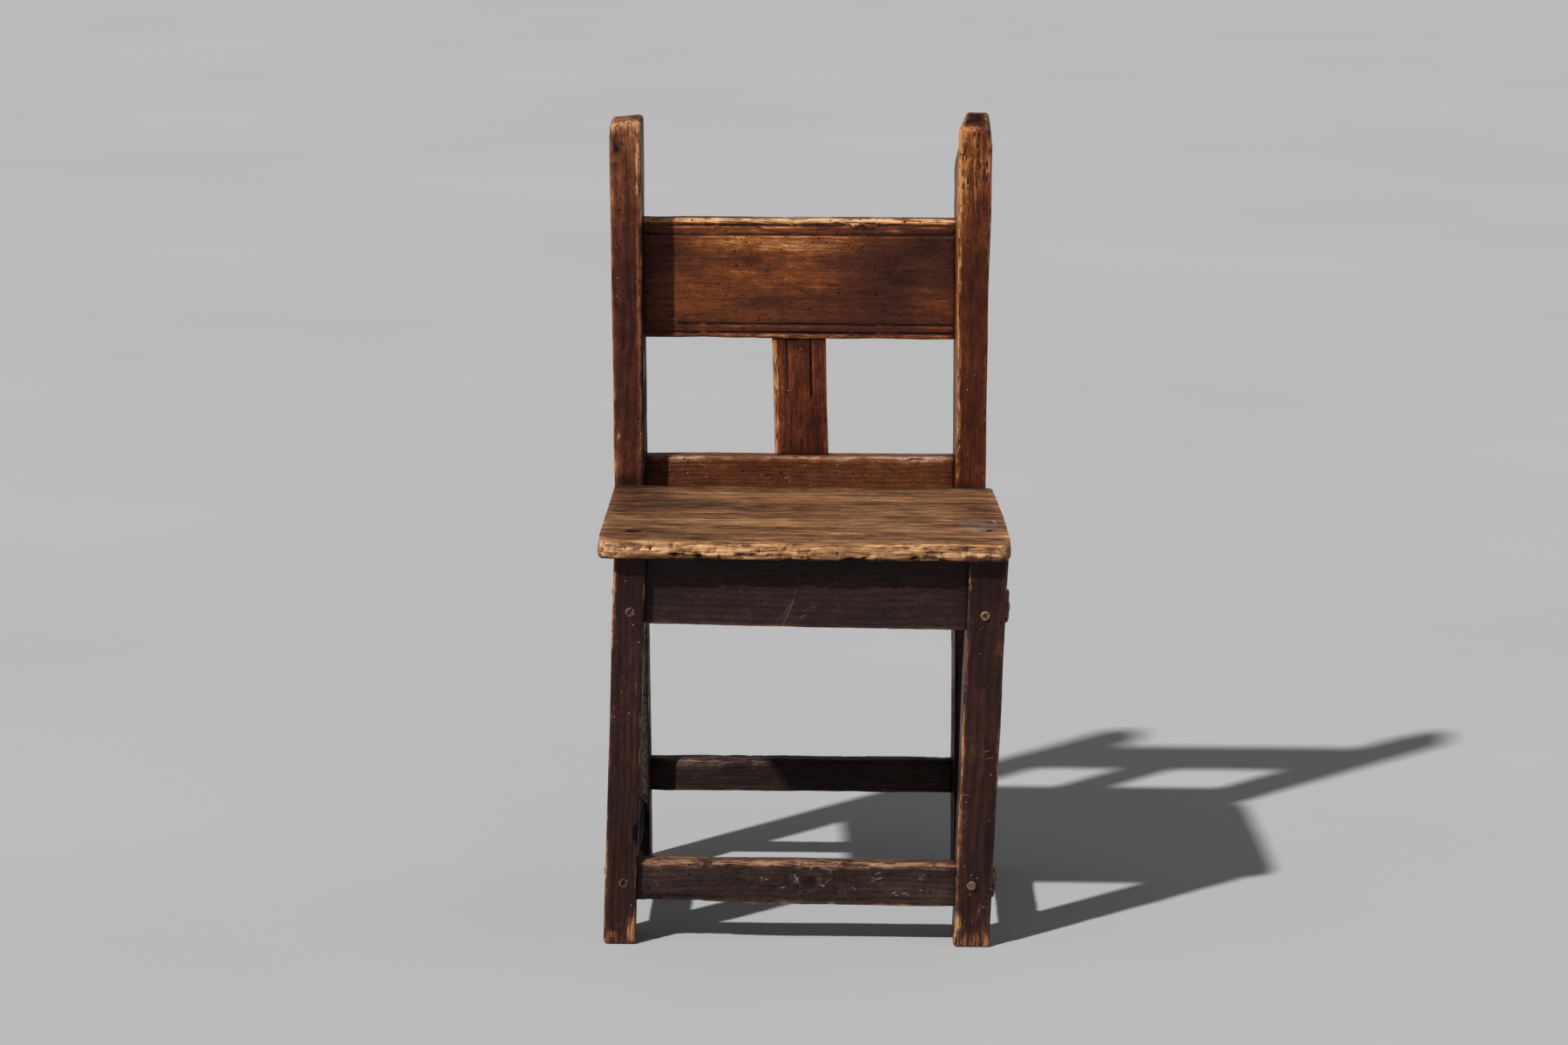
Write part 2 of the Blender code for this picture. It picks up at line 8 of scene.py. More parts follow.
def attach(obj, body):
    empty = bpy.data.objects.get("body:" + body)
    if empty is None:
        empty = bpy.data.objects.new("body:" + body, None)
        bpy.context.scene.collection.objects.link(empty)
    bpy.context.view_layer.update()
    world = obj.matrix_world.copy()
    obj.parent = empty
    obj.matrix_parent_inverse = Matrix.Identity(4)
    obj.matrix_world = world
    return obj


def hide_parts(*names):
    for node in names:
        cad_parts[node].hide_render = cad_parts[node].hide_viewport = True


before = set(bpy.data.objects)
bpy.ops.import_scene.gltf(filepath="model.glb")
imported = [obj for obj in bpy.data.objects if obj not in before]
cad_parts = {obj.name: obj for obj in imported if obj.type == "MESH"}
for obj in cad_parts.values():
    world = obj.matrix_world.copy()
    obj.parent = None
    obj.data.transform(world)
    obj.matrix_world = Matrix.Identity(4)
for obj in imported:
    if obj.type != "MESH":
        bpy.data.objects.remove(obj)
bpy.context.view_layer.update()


# Front legs. Two sawn sticks of dense reddish timber, hand planed, standing a little out of
# plumb. Their arrises are rubbed round and golden, and the feet are worn bare by the floor.

STEP = 0.0016          # ring spacing along a stick
ARC = 6                # points round each worn arris


def drift(points, size, seed):
    """Smooth random values from -1 to 1 that change over about one size."""
    scaled = np.asarray(points, float) / size + seed * 17.317
    cell = np.floor(scaled).astype(np.int64)
    part = scaled - cell
    part = part * part * (3.0 - 2.0 * part)
    primes = np.array([73856093, 19349663, 83492791][: cell.shape[-1]], np.int64)
    total = np.zeros(cell.shape[:-1])
    for corner in itertools.product((0, 1), repeat=cell.shape[-1]):
        code = ((cell + np.array(corner)) * primes).sum(-1) & 0x7FFFFFFF
        code = ((code ^ (code >> 13)) * 1274126177) & 0x7FFFFFFF
        code = ((code ^ (code >> 16)) * 668265263) & 0x7FFFFFFF
        share = np.where(np.array(corner) == 1, part, 1.0 - part).prod(-1)
        total += share * ((code & 0xFFFF) / 32767.5 - 1.0)
    return total


def ragged(points, size, seed, layers=3):
    """The same with finer layers on top."""
    total = 0.0
    for layer in range(layers):
        total = total + drift(points, size / 2.1 ** layer, seed + layer * 3.7) * 0.55 ** layer
    return total


def swell(values, middle, reach):
    """A bump of height 1 that dies away over the reach."""
    return np.exp(-((values - middle) / reach) ** 2)


def soft_step(values, start, end):
    """0 before start, 1 after end, smooth between."""
    share = np.clip((values - start) / (end - start), 0.0, 1.0)
    return share * share * (3.0 - 2.0 * share)


def finish_mesh(name, points, faces, marks, uv=None):
    """Mesh object with the values that the finish reads: grain place, wear with painted highlights, dirt with
    painted shade, end grain, curl.
    """
    mesh = bpy.data.meshes.new(name)
    mesh.from_pydata([tuple(p) for p in points], [], faces)
    mesh.polygons.foreach_set("use_smooth", np.ones(len(mesh.polygons), bool))
    for label, values in marks.items():
        values = np.asarray(values, np.float32)
        kind = "FLOAT_VECTOR" if values.ndim == 2 else "FLOAT"
        layer = mesh.attributes.new(label, kind, "POINT")
        layer.data.foreach_set("vector" if values.ndim == 2 else "value", values.ravel())
    if uv is not None:
        layer = mesh.uv_layers.new(name="OFBake")
        layer.data.foreach_set("uv", np.asarray(uv, np.float32).ravel())
    mesh.validate()
    mesh.update()
    piece = bpy.data.objects.new(name, mesh)
    bpy.context.scene.collection.objects.link(piece)
    return piece


def worn_stick(name, low, high, seed, arris=0.0018, ends=(0.0, 0.0), rub=0.6, rub_ends=(0.0, 0.0),
               chips=(), dents=(), lines=(), tapers=(), bare_and_highlight=(), dark=(), wave=0.00035, gap=0.0022,
               step=STEP, joint_dirt=(0.0, 0.0), end_dirt=(0.0, 0.0), curl=()):
    """Old stick between two four-cornered ends: wavy faces, arrises worn unevenly, chips and dents.

    Corners run round each end so that side k goes from corner k to corner k + 1.
    chips: (corner, along, length, size). dents: (side, along, across, length, width, depth).
    lines: (side, across, depth, from, to). tapers: (side, start, end, amount, fade across).
    bare, dark and curl: (side, along, across, length, width, strength); bare patches are worn wood and in
    places painted highlights, dark patches are dirt and in places painted shade; dark below 0 is thin wax.
    """
    low = np.array(low, float)
    high = np.array(high, float)
    length = np.linalg.norm((high - low).mean(0))
    side_run = np.linalg.norm(np.roll(low, -1, 0) - low, axis=1) / 2
    side_run += np.linalg.norm(np.roll(high, -1, 0) - high, axis=1) / 2
    wide = (side_run[0] + side_run[2]) / 2
    deep = (side_run[1] + side_run[3]) / 2
    runs = (wide, deep, wide, deep)
    radii = np.broadcast_to(arris, (4,))
    rubs = np.broadcast_to(rub, (4,))

    # places along: rounded or square ends, then even steps
    for radius, start in ((ends[0], True), (ends[1], False)):
        if radius > 0:
            turn = np.linspace(0, np.pi / 2, 7)[:-1]
            place = radius * (1 - np.sin(turn))
            shrink = radius * (1 - np.cos(turn))
            pair = (place[::-1], shrink[::-1]) if start else (length - place, shrink)
        else:
            pair = (np.array([0.0]), np.array([0.0])) if start else (np.array([length]), np.array([0.0]))
        if start:
            first = pair
        else:
            last = pair
    count = max(4, int((length - sum(ends)) / step))
    middle = np.linspace(ends[0], length - ends[1], count + 2)[1:-1]
    order = np.argsort(first[0])
    along = np.concatenate([first[0][order], middle, np.sort(last[0])])
    inset = np.concatenate([np.sort(first[1])[::-1], np.zeros(len(middle)), np.sort(last[1])])
    rings = len(along)

    # radius of each arris along the stick
    radius = np.zeros((rings, 4))
    for k in range(4):
        r = radii[k] * (1.0 + 0.28 * ragged(along[:, None], 0.036, seed + k, 3))
        r += radii[k] * 0.55 * soft_step(ragged(along[:, None], 0.014, seed + 9 + k, 3), 0.45, 0.8)
        for corner, place, run, size in chips:
            if corner == k:
                shape = soft_step(run / 2 - abs(along - place), 0.0, run * 0.18)
                r += size * shape * (1.0 + 0.3 * ragged(along[:, None], 0.004, seed + place * 90, 2))
        radius[:, k] = np.clip(r, 0.0004, 0.45 * min(wide, deep))

    # points round the section
    turn = np.linspace(0, np.pi / 2, ARC)
    p_parts, q_parts, in_p, in_q, side_of, corner_near = [], [], [], [], [], []
    e = inset[:, None]
    arcs = (
        (e, e, 1, 1, -np.cos(turn), -np.sin(turn)),
        (wide - e, e, -1, 1, np.sin(turn), -np.cos(turn)),
        (wide - e, deep - e, -1, -1, np.cos(turn), np.sin(turn)),
        (e, deep - e, 1, -1, -np.sin(turn), np.cos(turn)),
    )
    arc_points = []
    for k, (cp, cq, sp, sq, up, uq) in enumerate(arcs):
        r = np.maximum(radius[:, k : k + 1] - 0.6 * e, 0.0004)
        arc_points.append((cp + sp * r + r * up, cq + sq * r + r * uq, -up, -uq))
    inward = ((0, 1), (-1, 0), (0, -1), (1, 0))
    for k in range(4):
        ap, aq, ip, iq = arc_points[k]
        p_parts.append(ap)
        q_parts.append(aq)
        in_p.append(ip)
        in_q.append(iq)
        side_of += [k - 0.5] * ARC
        next_p, next_q = arc_points[(k + 1) % 4][:2]
        number = max(2, int(runs[k] / gap))
        share = np.linspace(0, 1, number + 2)[1:-1]
        extra = []
        for side, place, depth, *_ in lines:
            if side == k:
                extra += [(place + d) / runs[k] for d in np.linspace(-0.0016, 0.0016, 9)]
        share = np.unique(np.round(np.concatenate([share, extra]), 5))
        p_parts.append(ap[:, -1:] + (next_p[:, :1] - ap[:, -1:]) * share)
        q_parts.append(aq[:, -1:] + (next_q[:, :1] - aq[:, -1:]) * share)
        in_p.append(np.full(len(share), inward[k][0]))
        in_q.append(np.full(len(share), inward[k][1]))
        side_of += [k] * len(share)
    p = np.concatenate(p_parts, 1)
    q = np.concatenate(q_parts, 1)
    in_p = np.concatenate(in_p)
    in_q = np.concatenate(in_q)
    side_of = np.array(side_of)
    s = np.broadcast_to(along[:, None], p.shape)
    around = p.shape[1]
    acrosses = (p, q, wide - p, deep - q)

    # faces waver, sag and are knocked about
    place3 = np.stack([p, q, s * 0.35], -1)
    sink = wave * (0.6 + 0.6 * drift(place3, 0.022, seed + 21))
    sink += wave * 0.5 * (0.5 + drift(np.stack([p, q, s * 0.5], -1), 0.007, seed + 22))
    for k in range(4):
        lean = soft_step(1.5 - abs(((side_of - k + 2) % 4) - 2), 0.0, 1.0) * (abs(in_p) + abs(in_q) > 0)
        sink += lean * wave * 1.1 * (0.5 + 0.5 * drift(along[:, None], 0.055, seed + 31 + k))[:, None]
    sink -= 1.2 * wave
    wear_and_highlight = np.zeros(p.shape)
    dirt_and_shade = np.zeros(p.shape)
    curled = np.zeros(p.shape)
    for side, place, across, run, width, depth in dents:
        facing = abs(((side_of - side + 2) % 4) - 2) < 0.75
        shape = swell(s, place, run) * swell(acrosses[side], across, width)
        shape = shape * (1 + 0.5 * ragged(np.stack([p, q, s], -1), 0.004, seed + place * 70, 2))
        sink += facing * depth * shape
    for side, place, depth, start, stop in lines:
        facing = abs(side_of - side) < 0.25
        waver = place + 0.0003 * drift(along[:, None], 0.06, seed + place * 900)[:, None]
        fade = soft_step(s, start - 0.004, start + 0.004) * soft_step(-s, -stop - 0.004, -stop + 0.004)
        cut = swell(acrosses[side], waver, 0.0007) * fade * facing
        cut = cut * (0.90 + 0.20 * drift(along[:, None], 0.03, seed + place * 500)[:, None])
        sink += depth * cut
        dirt_and_shade += 1.45 * cut
        wear_and_highlight += 0.40 * facing * fade * (swell(acrosses[side], waver + 0.0017, 0.0008))
    p = p + sink * in_p
    q = q + sink * in_q

    # how far each point is rubbed: arrises first, then ends and bare patches, some of which are painted
    # highlights; dark patches add dirt and, in places, painted shade
    for k in range(4):
        gap_to = np.hypot(p - (wide if k in (1, 2) else 0), q - (deep if k in (2, 3) else 0))
        reach = 0.62 * radius[:, k] + 0.0004
        strength = rubs[k] * (0.92 + 0.46 * ragged(along[:, None], 0.014, seed + 41 + k, 3))
        wear_and_highlight += strength[:, None] * np.exp(-(gap_to / reach[:, None]) ** 2)
        wear_and_highlight += 0.14 * strength[:, None] * np.exp(-(gap_to / (2.4 * reach[:, None])) ** 2)
    for at, run_off in ((0, s), (1, length - s)):
        if rub_ends[at]:
            wear_and_highlight += rub_ends[at] * np.exp(-(run_off / 0.009) ** 1.3)
            wear_and_highlight += 0.45 * rub_ends[at] * np.exp(-run_off / 0.02) * (1 + ragged(place3, 0.008, seed + 5))
        if joint_dirt[at]:
            dirt_and_shade += joint_dirt[at] * np.exp(-run_off / 0.004)
    for patches, target in ((bare_and_highlight, wear_and_highlight), (dark, dirt_and_shade), (curl, curled)):
        for side, place, across, run, width, strength in patches:
            facing = abs(((side_of - side + 2) % 4) - 2) < 0.75
            uneven = 1.0 + 0.45 * ragged(place3, 0.010, seed + place * 40, 2)
            shape = swell(s, place, run) * swell(acrosses[side], across, width)
            target += facing * strength * shape * uneven

    # a taper draws one side in towards the other
    for side, start, stop, amount, fade in tapers:
        push = amount * soft_step(s, start, stop) * (1.0 - fade * acrosses[side] / runs[side])
        if side == 0:
            q = q + push * (1.0 - q / deep)
        elif side == 1:
            p = p - push * p / wide
        elif side == 2:
            q = q - push * q / deep
        else:
            p = p + push * (1.0 - p / wide)

    # the end faces: rings that close on the middle
    layers = [(p, q, s, wear_and_highlight, dirt_and_shade, np.zeros(p.shape), curled)]
    for at in (0, 1):
        row = 0 if at == 0 else -1
        steps = np.linspace(1, 0, 9)[1:-1] if ends[at] > 0 else np.array([0.5])
        cp = wide / 2 + (p[row] - wide / 2) * steps[:, None]
        cq = deep / 2 + (q[row] - deep / 2) * steps[:, None]
        cs = np.broadcast_to(s[row], cp.shape).copy()
        if ends[at] > 0:
            rough = 0.0005 * ragged(np.stack([cp, cq], -1), 0.006, seed + 61, 3)
            crown = 0.0009 * (1 - steps[:, None] ** 2)
            cs += (rough + crown) * (1 if at else -1) * (1 if at else 0.15)
        cap_wear = np.broadcast_to(wear_and_highlight[row] * 0.65, cp.shape)
        uneven = 1.0 + 0.4 * ragged(np.stack([cp, cq], -1), 0.009, seed + 63, 2)
        cap_dirt_and_shade = dirt_and_shade[row] + end_dirt[at] * (1.0 - steps[:, None] ** 3) * uneven
        cap = (cp, cq, cs, cap_wear, cap_dirt_and_shade, np.ones(cp.shape), np.zeros(cp.shape))
        if at == 0:
            layers.insert(0, tuple(a[::-1] for a in cap))
            low_rings = len(steps)
        else:
            layers.append(cap)
    p, q, s, wear_and_highlight, dirt_and_shade, end, curled = (np.concatenate(group, 0) for group in zip(*layers))
    total = len(p)

    # section coordinates to the real place
    t = (s / length)[..., None]
    u = (p / wide)[..., None]
    v = (q / deep)[..., None]
    quad = [low[k] * (1 - t) + high[k] * t for k in range(4)]
    spots = (quad[0] * (1 - u) + quad[1] * u) * (1 - v) + (quad[3] * (1 - u) + quad[2] * u) * v
    index = np.arange(total * around).reshape(total, around)
    nxt = np.roll(index, -1, 1)
    quads = np.stack([index[:-1], nxt[:-1], nxt[1:], index[1:]], -1).reshape(-1, 4)
    points = spots.reshape(-1, 3)
    hubs = np.stack([spots[0].mean(0), spots[-1].mean(0)])
    points = np.concatenate([points, hubs])
    first_hub = total * around
    faces = quads.tolist()
    faces += [(first_hub, nxt[0, j], index[0, j]) for j in range(around)]
    faces += [(first_hub + 1, index[-1, j], nxt[-1, j]) for j in range(around)]

    # flat layout for the baked finish: the sides as strips, the end faces beside them
    spread = np.concatenate([[0], np.cumsum(np.hypot(np.diff(p[low_rings]), np.diff(q[low_rings])))])
    girth = spread[-1] + 0.003
    strips = max(1, int(round((length / girth) ** 0.5)))
    strip_run = length / strips
    rows_at = s[:, 0]
    uv = []
    edge = np.append(spread, girth)
    cap_left = strips * (girth + 0.004)
    for i in range(total - 1):
        in_low = i < low_rings
        in_high = i >= low_rings + rings - 1
        if in_low or in_high:
            base_v = 0.0 if in_low else deep + 0.006
            a = np.stack([cap_left + p[i], base_v + q[i]], -1)
            b = np.stack([cap_left + p[i + 1], base_v + q[i + 1]], -1)
            a2, b2 = np.roll(a, -1, 0), np.roll(b, -1, 0)
        else:
            strip = min(strips - 1, int((rows_at[i] + rows_at[i + 1]) / 2 / strip_run))
            left = strip * (girth + 0.004)
            lo, hi = rows_at[i] - strip * strip_run, rows_at[i + 1] - strip * strip_run
            a = np.stack([left + edge[:-1], np.full(around, lo)], -1)
            a2 = np.stack([left + edge[1:], np.full(around, lo)], -1)
            b = np.stack([left + edge[:-1], np.full(around, hi)], -1)
            b2 = np.stack([left + edge[1:], np.full(around, hi)], -1)
        uv.append(np.stack([a, a2, b2, b], 1).reshape(-1, 2))
    for row, base_v, flip in ((0, 0.0, True), (-1, deep + 0.006, False)):
        rim = np.stack([cap_left + p[row], base_v + q[row]], -1)
        hub = np.broadcast_to(rim.mean(0), rim.shape)
        pair = (hub, np.roll(rim, -1, 0), rim) if flip else (hub, rim, np.roll(rim, -1, 0))
        uv.append(np.stack(pair, 1).reshape(-1, 2))
    uv = np.concatenate(uv)
    uv = (uv - uv.min(0)) / (uv.max(0) - uv.min(0)).max() * 0.996 + 0.002

    shift = np.array([seed * 0.731 % 3.0, seed * 0.417 % 2.0, seed * 1.113 % 4.0])
    grain = np.stack([p - wide / 2, q - deep / 2, s], -1).reshape(-1, 3) + shift
    hub_grain = np.array([[0, 0, s[0, 0]], [0, 0, s[-1, 0]]]) + shift
    marks = {"grain": np.concatenate([grain, hub_grain])}
    for label, values in (("wear_and_highlight", wear_and_highlight), ("dirt_and_shade", dirt_and_shade), ("end", end), ("curl", curled)):
        marks[label] = np.append(values.reshape(-1), [values[0].mean(), values[-1].mean()])
    piece = finish_mesh(name, points, faces, marks, uv)
    piece["origin_of_grain"] = [float(c) for c in shift - np.array([wide / 2, deep / 2, 0.0])]
    return piece


class Finish:
    """One finish under construction; each method adds a node and returns its result."""

    def __init__(self, name):
        self.material = bpy.data.materials.new(name)
        self.material.use_nodes = True
        self.tree = self.material.node_tree
        self.shader = self.tree.nodes["Principled BSDF"]

    def join(self, socket, value):
        if isinstance(value, bpy.types.NodeSocket):
            self.tree.links.new(value, socket)
        elif isinstance(value, tuple) and len(value) == 3 and socket.type == "RGBA":
            socket.default_value = (*value, 1.0)
        else:
            socket.default_value = value

    def node(self, kind, sockets, out=0, **settings):
        made = self.tree.nodes.new(kind)
        for key, value in settings.items():
            setattr(made, key, value)
        for key, value in sockets.items():
            self.join(made.inputs[key], value)
        return made.outputs[out]

    def read(self, label, out="Fac"):
        return self.node("ShaderNodeAttribute", {}, out, attribute_name=label)

    def sums(self, operation, *values):
        return self.node("ShaderNodeMath", dict(enumerate(values)), operation=operation)

    def vector(self, operation, a, b):
        out = "Value" if operation in ("DOT_PRODUCT", "LENGTH") else 0
        return self.node("ShaderNodeVectorMath", {0: a, 1: b}, out, operation=operation)

    def noise(self, vector, scale, detail=3.0, rough=0.55, out=0, warp=0.0):
        sockets = {"Vector": vector, "Scale": scale, "Detail": detail, "Roughness": rough, "Distortion": warp}
        return self.node("ShaderNodeTexNoise", sockets, out)

    def between(self, value, low, high, to=(0.0, 1.0)):
        sockets = {"Value": value, "From Min": low, "From Max": high, "To Min": to[0], "To Max": to[1]}
        return self.node("ShaderNodeMapRange", sockets, interpolation_type="SMOOTHSTEP")

    def ramp(self, value, stops):
        made = self.tree.nodes.new("ShaderNodeValToRGB")
        self.join(made.inputs[0], value)
        elements = made.color_ramp.elements
        while len(elements) < len(stops):
            elements.new(0.5)
        for element, (place, colour) in zip(elements, stops):
            element.position = place
            element.color = (*colour, 1.0)
        return made.outputs[0]

    def mix(self, factor, a, b, blend="MIX"):
        return self.node("ShaderNodeMix", {0: factor, 6: a, 7: b}, 2, data_type="RGBA", blend_type=blend)

    def dots(self, vector, scale, size, keep):
        """Small round marks, some left out, as a mask."""
        far = self.tree.nodes.new("ShaderNodeTexVoronoi")
        self.join(far.inputs["Vector"], vector)
        self.join(far.inputs["Scale"], scale)
        kept = self.between(self.node("ShaderNodeSeparateColor", {0: far.outputs["Color"]}), keep, keep + 0.02)
        return self.sums("MULTIPLY", self.between(far.outputs["Distance"], size, size * 0.55), kept)


BROAD_STROKE = 0.002   # wider marks than this are dusted on, narrower ones are scratches, pits and painted glints
TURN = 6.2832


def old_wood(name, tones, pith=(0.09, 0.13), ring=0.0034, cloud=22.0, coarse=260.0, holes=0.5, specks=0.80,
             gloss=0.42, relief=0.5, figure=0.06, contrast=1.0, mixing=(0.80, 0.36, 0.32, 0.55, 0.60),
             fleck=(125.0, 0.55), grit=(640.0, 0.45), pore=1040.0, cracks=0.85, curl=False, strokes=(),
             start=(0, 0, 0)):
    """Hand-rubbed old timber. tones: deep, body, light, rubbed and bare colours; the bare colour also serves
    painted highlights.

    mixing: how much clouds, streaks, fine lines, flecks and grit each change the tone.
    strokes: (from, to, half width, tint, strength) in the stick's own p, q, along; start is its origin.
    """
    deep, body, light, rubbed, bare_and_highlight = tones
    f = Finish(name)
    grain = f.read("grain", "Vector")
    wear_and_highlight = f.read("wear_and_highlight")
    dirt_and_shade = f.read("dirt_and_shade")
    end = f.read("end")

    bend = f.noise(f.vector("MULTIPLY", grain, (1.0, 1.0, 0.35)), 24.0, 2.0, out=1)
    bend = f.vector("MULTIPLY", f.vector("SUBTRACT", bend, (0.5, 0.5, 0.5)), (0.010, 0.010, 0.0))
    line = f.vector("ADD", grain, bend)
    clouds = f.noise(f.vector("MULTIPLY", line, (1.0, 1.0, 0.28)), cloud, 3.0, 0.5)
    streak = f.noise(f.vector("MULTIPLY", line, (1.0, 1.0, 0.055)), coarse, 4.0, 0.6)
    fine = f.noise(f.vector("MULTIPLY", line, (1.0, 1.0, 0.040)), coarse * 3.2, 3.0, 0.6)
    mottle = f.noise(f.vector("MULTIPLY", grain, (1.0, 1.0, fleck[1])), fleck[0], 4.0, 0.62)

    sand = f.noise(f.vector("MULTIPLY", grain, (1.0, 1.0, grit[1])), grit[0], 2.0, 0.65)

    heart = (pith[0] - start[0], pith[1] - start[1], 0.0)
    away = f.vector("ADD", f.vector("MULTIPLY", line, (1.0, 1.0, 0.02)), heart)
    reach = f.vector("LENGTH", f.vector("MULTIPLY", away, (1.0, 1.0, 0.0)), (0.0, 0.0, 0.0))
    phase = f.sums("MULTIPLY_ADD", reach, TURN / ring, f.sums("MULTIPLY", clouds, 9.0))
    rings = f.sums("SINE", phase)

    tone = 0.34 - 0.5 * contrast * sum(mixing)
    for share, layer in zip(mixing, (clouds, streak, fine, mottle, sand)):
        tone = f.sums("MULTIPLY_ADD", layer, share * contrast, tone)
    tone = f.sums("MULTIPLY_ADD", rings, figure, tone)
    lines = f.between(fine, 0.36, 0.64)
    broken = f.sums("MULTIPLY_ADD", streak, 0.45, f.sums("MULTIPLY_ADD", mottle, 0.50, -0.105))
    broken = f.sums("MULTIPLY_ADD", lines, 0.40, broken)
    # wear lightens the tone (worn wood, and in places painted highlights); dirt darkens it (dirt, and in places
    # painted shade)
    tone = f.sums("ADD", tone, f.sums("MULTIPLY", wear_and_highlight, broken))
    tone = f.sums("MULTIPLY_ADD", dirt_and_shade, -0.42, tone)
    tone = f.sums("MULTIPLY_ADD", end, -0.10, tone)
    colour = f.ramp(tone, [(0.06, deep), (0.34, body), (0.56, light), (0.76, rubbed), (1.0, bare_and_highlight)])

    pores = f.between(f.noise(f.vector("MULTIPLY", line, (1.0, 1.0, 0.06)), pore, 2.0, 0.4), 0.58, 0.68)
    colour = f.mix(f.sums("MULTIPLY", pores, 0.45), colour, tuple(min(1.0, c * 4.0) for c in deep), "MULTIPLY")
    # darker and rougher where the dirt value is high: dirt, and in places painted shade
    soil_and_shade = f.between(f.sums("MULTIPLY_ADD", f.sums("SUBTRACT", mottle, 0.5), 0.9, dirt_and_shade), 0.45, 1.05)
    colour = f.mix(f.sums("MULTIPLY", soil_and_shade, 0.85), colour, tuple(c * 0.30 for c in deep))
    height = f.sums("MULTIPLY_ADD", streak, 0.60, f.sums("MULTIPLY", fine, 0.30))
    height = f.sums("MULTIPLY_ADD", mottle, 0.70, height)
    height = f.sums("MULTIPLY_ADD", sand, 0.35, height)
    height = f.sums("MULTIPLY_ADD", pores, -0.30, height)

    split = f.noise(f.vector("MULTIPLY", line, (1.0, 1.0, 0.12)), 460.0, 3.0, 0.55)
    split = f.sums("MULTIPLY", f.between(split, 0.575, 0.635), f.between(wear_and_highlight, 0.30, 0.75))
    colour = f.mix(f.sums("MULTIPLY", split, cracks), colour, tuple(c * 0.5 for c in deep))
    height = f.sums("MULTIPLY_ADD", split, -1.1, height)

    if curl:
        wander = f.noise(grain, 120.0, 3.0, 0.6)
        slant = f.vector("DOT_PRODUCT", grain, (0.0, 1.9, -1.0))
        ripple = f.sums("SINE", f.sums("MULTIPLY_ADD", slant, TURN / 0.0046, f.sums("MULTIPLY", wander, 17.0)))
        ripple = f.sums("MULTIPLY", f.between(ripple, 0.1, 0.9), f.between(f.read("curl"), 0.15, 0.75))
        ripple = f.sums("MULTIPLY", ripple, f.between(mottle, 0.42, 0.58))
        colour = f.mix(f.sums("MULTIPLY", ripple, 0.70), colour, deep)
        height = f.sums("MULTIPLY_ADD", ripple, -0.35, height)
    for first, last, half, tint, strength in strokes:
        a = Vector(first) + Vector(start)
        run = Vector(last) - Vector(first)
        off = f.vector("SUBTRACT", grain, tuple(a))
        part = f.node("ShaderNodeClamp", {0: f.vector("DOT_PRODUCT", off, tuple(run / run.length_squared))})
        foot = f.node("ShaderNodeVectorMath", {0: tuple(run), "Scale": part}, operation="SCALE")
        near = f.vector("SUBTRACT", off, foot)
        mark = f.between(f.vector("LENGTH", near, (0.0, 0.0, 0.0)), half, half * 0.45)
        breakup_mask = f.between(sand, 0.32, 0.66) if half > BROAD_STROKE else f.between(mottle, 0.30, 0.46)
        mark = f.sums("MULTIPLY", mark, breakup_mask)
        colour = f.mix(f.sums("MULTIPLY", mark, strength), colour, tint)
        height = f.sums("MULTIPLY_ADD", mark, -0.6, height)

    worm = f.dots(grain, 165.0, 0.135, 1.0 - holes)
    worm_big = f.dots(f.vector("ADD", grain, (0.5, 0.2, 0.7)), 88.0, 0.105, 1.0 - holes)
    worm = f.sums("MAXIMUM", worm, worm_big)
    colour = f.mix(f.sums("MULTIPLY", worm, 0.93), colour, (0.006, 0.0035, 0.0025))
    speck = f.dots(f.vector("ADD", grain, (0.9, 1.2, 0.1)), 170.0, 0.095, specks)
    colour = f.mix(f.sums("MULTIPLY", speck, 0.75), colour, (0.50, 0.43, 0.34))
    f.join(f.shader.inputs["Base Color"], colour)

    shine = f.sums("MULTIPLY_ADD", mottle, 0.30, gloss - 0.15)
    shine = f.sums("MULTIPLY_ADD", wear_and_highlight, 0.08, shine)
    shine = f.sums("MULTIPLY_ADD", soil_and_shade, 0.42, shine)
    f.join(f.shader.inputs["Roughness"], shine)
    f.shader.inputs["Specular IOR Level"].default_value = 0.16

    height = f.sums("MULTIPLY_ADD", worm, -1.6, height)
    height = f.sums("MULTIPLY_ADD", speck, 0.25, height)
    bump = f.node("ShaderNodeBump", {"Strength": relief, "Distance": 0.0009, "Height": height})
    f.join(f.shader.inputs["Normal"], bump)
    return f.material


def place_piece(piece, node, finish):
    """The dressed piece stands where its solid does."""
    piece.data.materials.append(finish)
    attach(piece, "root")
    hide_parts(node)


def upright_ends(left, right, front, depth, foot, top, skew=(0.0, 0.0, 0.0, 0.0)):
    """Corners of a stick that stands up: side faces at foot and top, front face, depth.

    skew moves each corner in x where the stick is not square, left front corner first.
    """
    ends = []
    for i, (z_front, z_back) in enumerate((foot, top)):
        ends.append([
            (left[i] + skew[0], front[i], z_front), (right[i] + skew[1], front[i], z_front),
            (right[i] + skew[2], front[i] + depth, z_back), (left[i] + skew[3], front[i] + depth, z_back),
        ])
    return ends


SEAT_UNDER = 0.3121
LEG_FRONT = -0.14681
LEG_DEPTH = 0.0420
LEFT_LEG_X = ((-0.15505, -0.14815), (-0.12965, -0.12275))
RIGHT_LEG_X = ((0.12015, 0.12845), (0.14885, 0.15965))
PALE = (0.42, 0.34, 0.26)
DUST = (0.070, 0.058, 0.048)
BLACK = (0.006, 0.004, 0.003)
LEG_TONES = (
    (0.0085, 0.0036, 0.0030), (0.0245, 0.0088, 0.0066), (0.0560, 0.0205, 0.0126),
    (0.2000, 0.0760, 0.0290), (0.4200, 0.2150, 0.0900),
)
LEG_MIXING = (0.80, 0.14, 0.20, 0.50, 0.60)

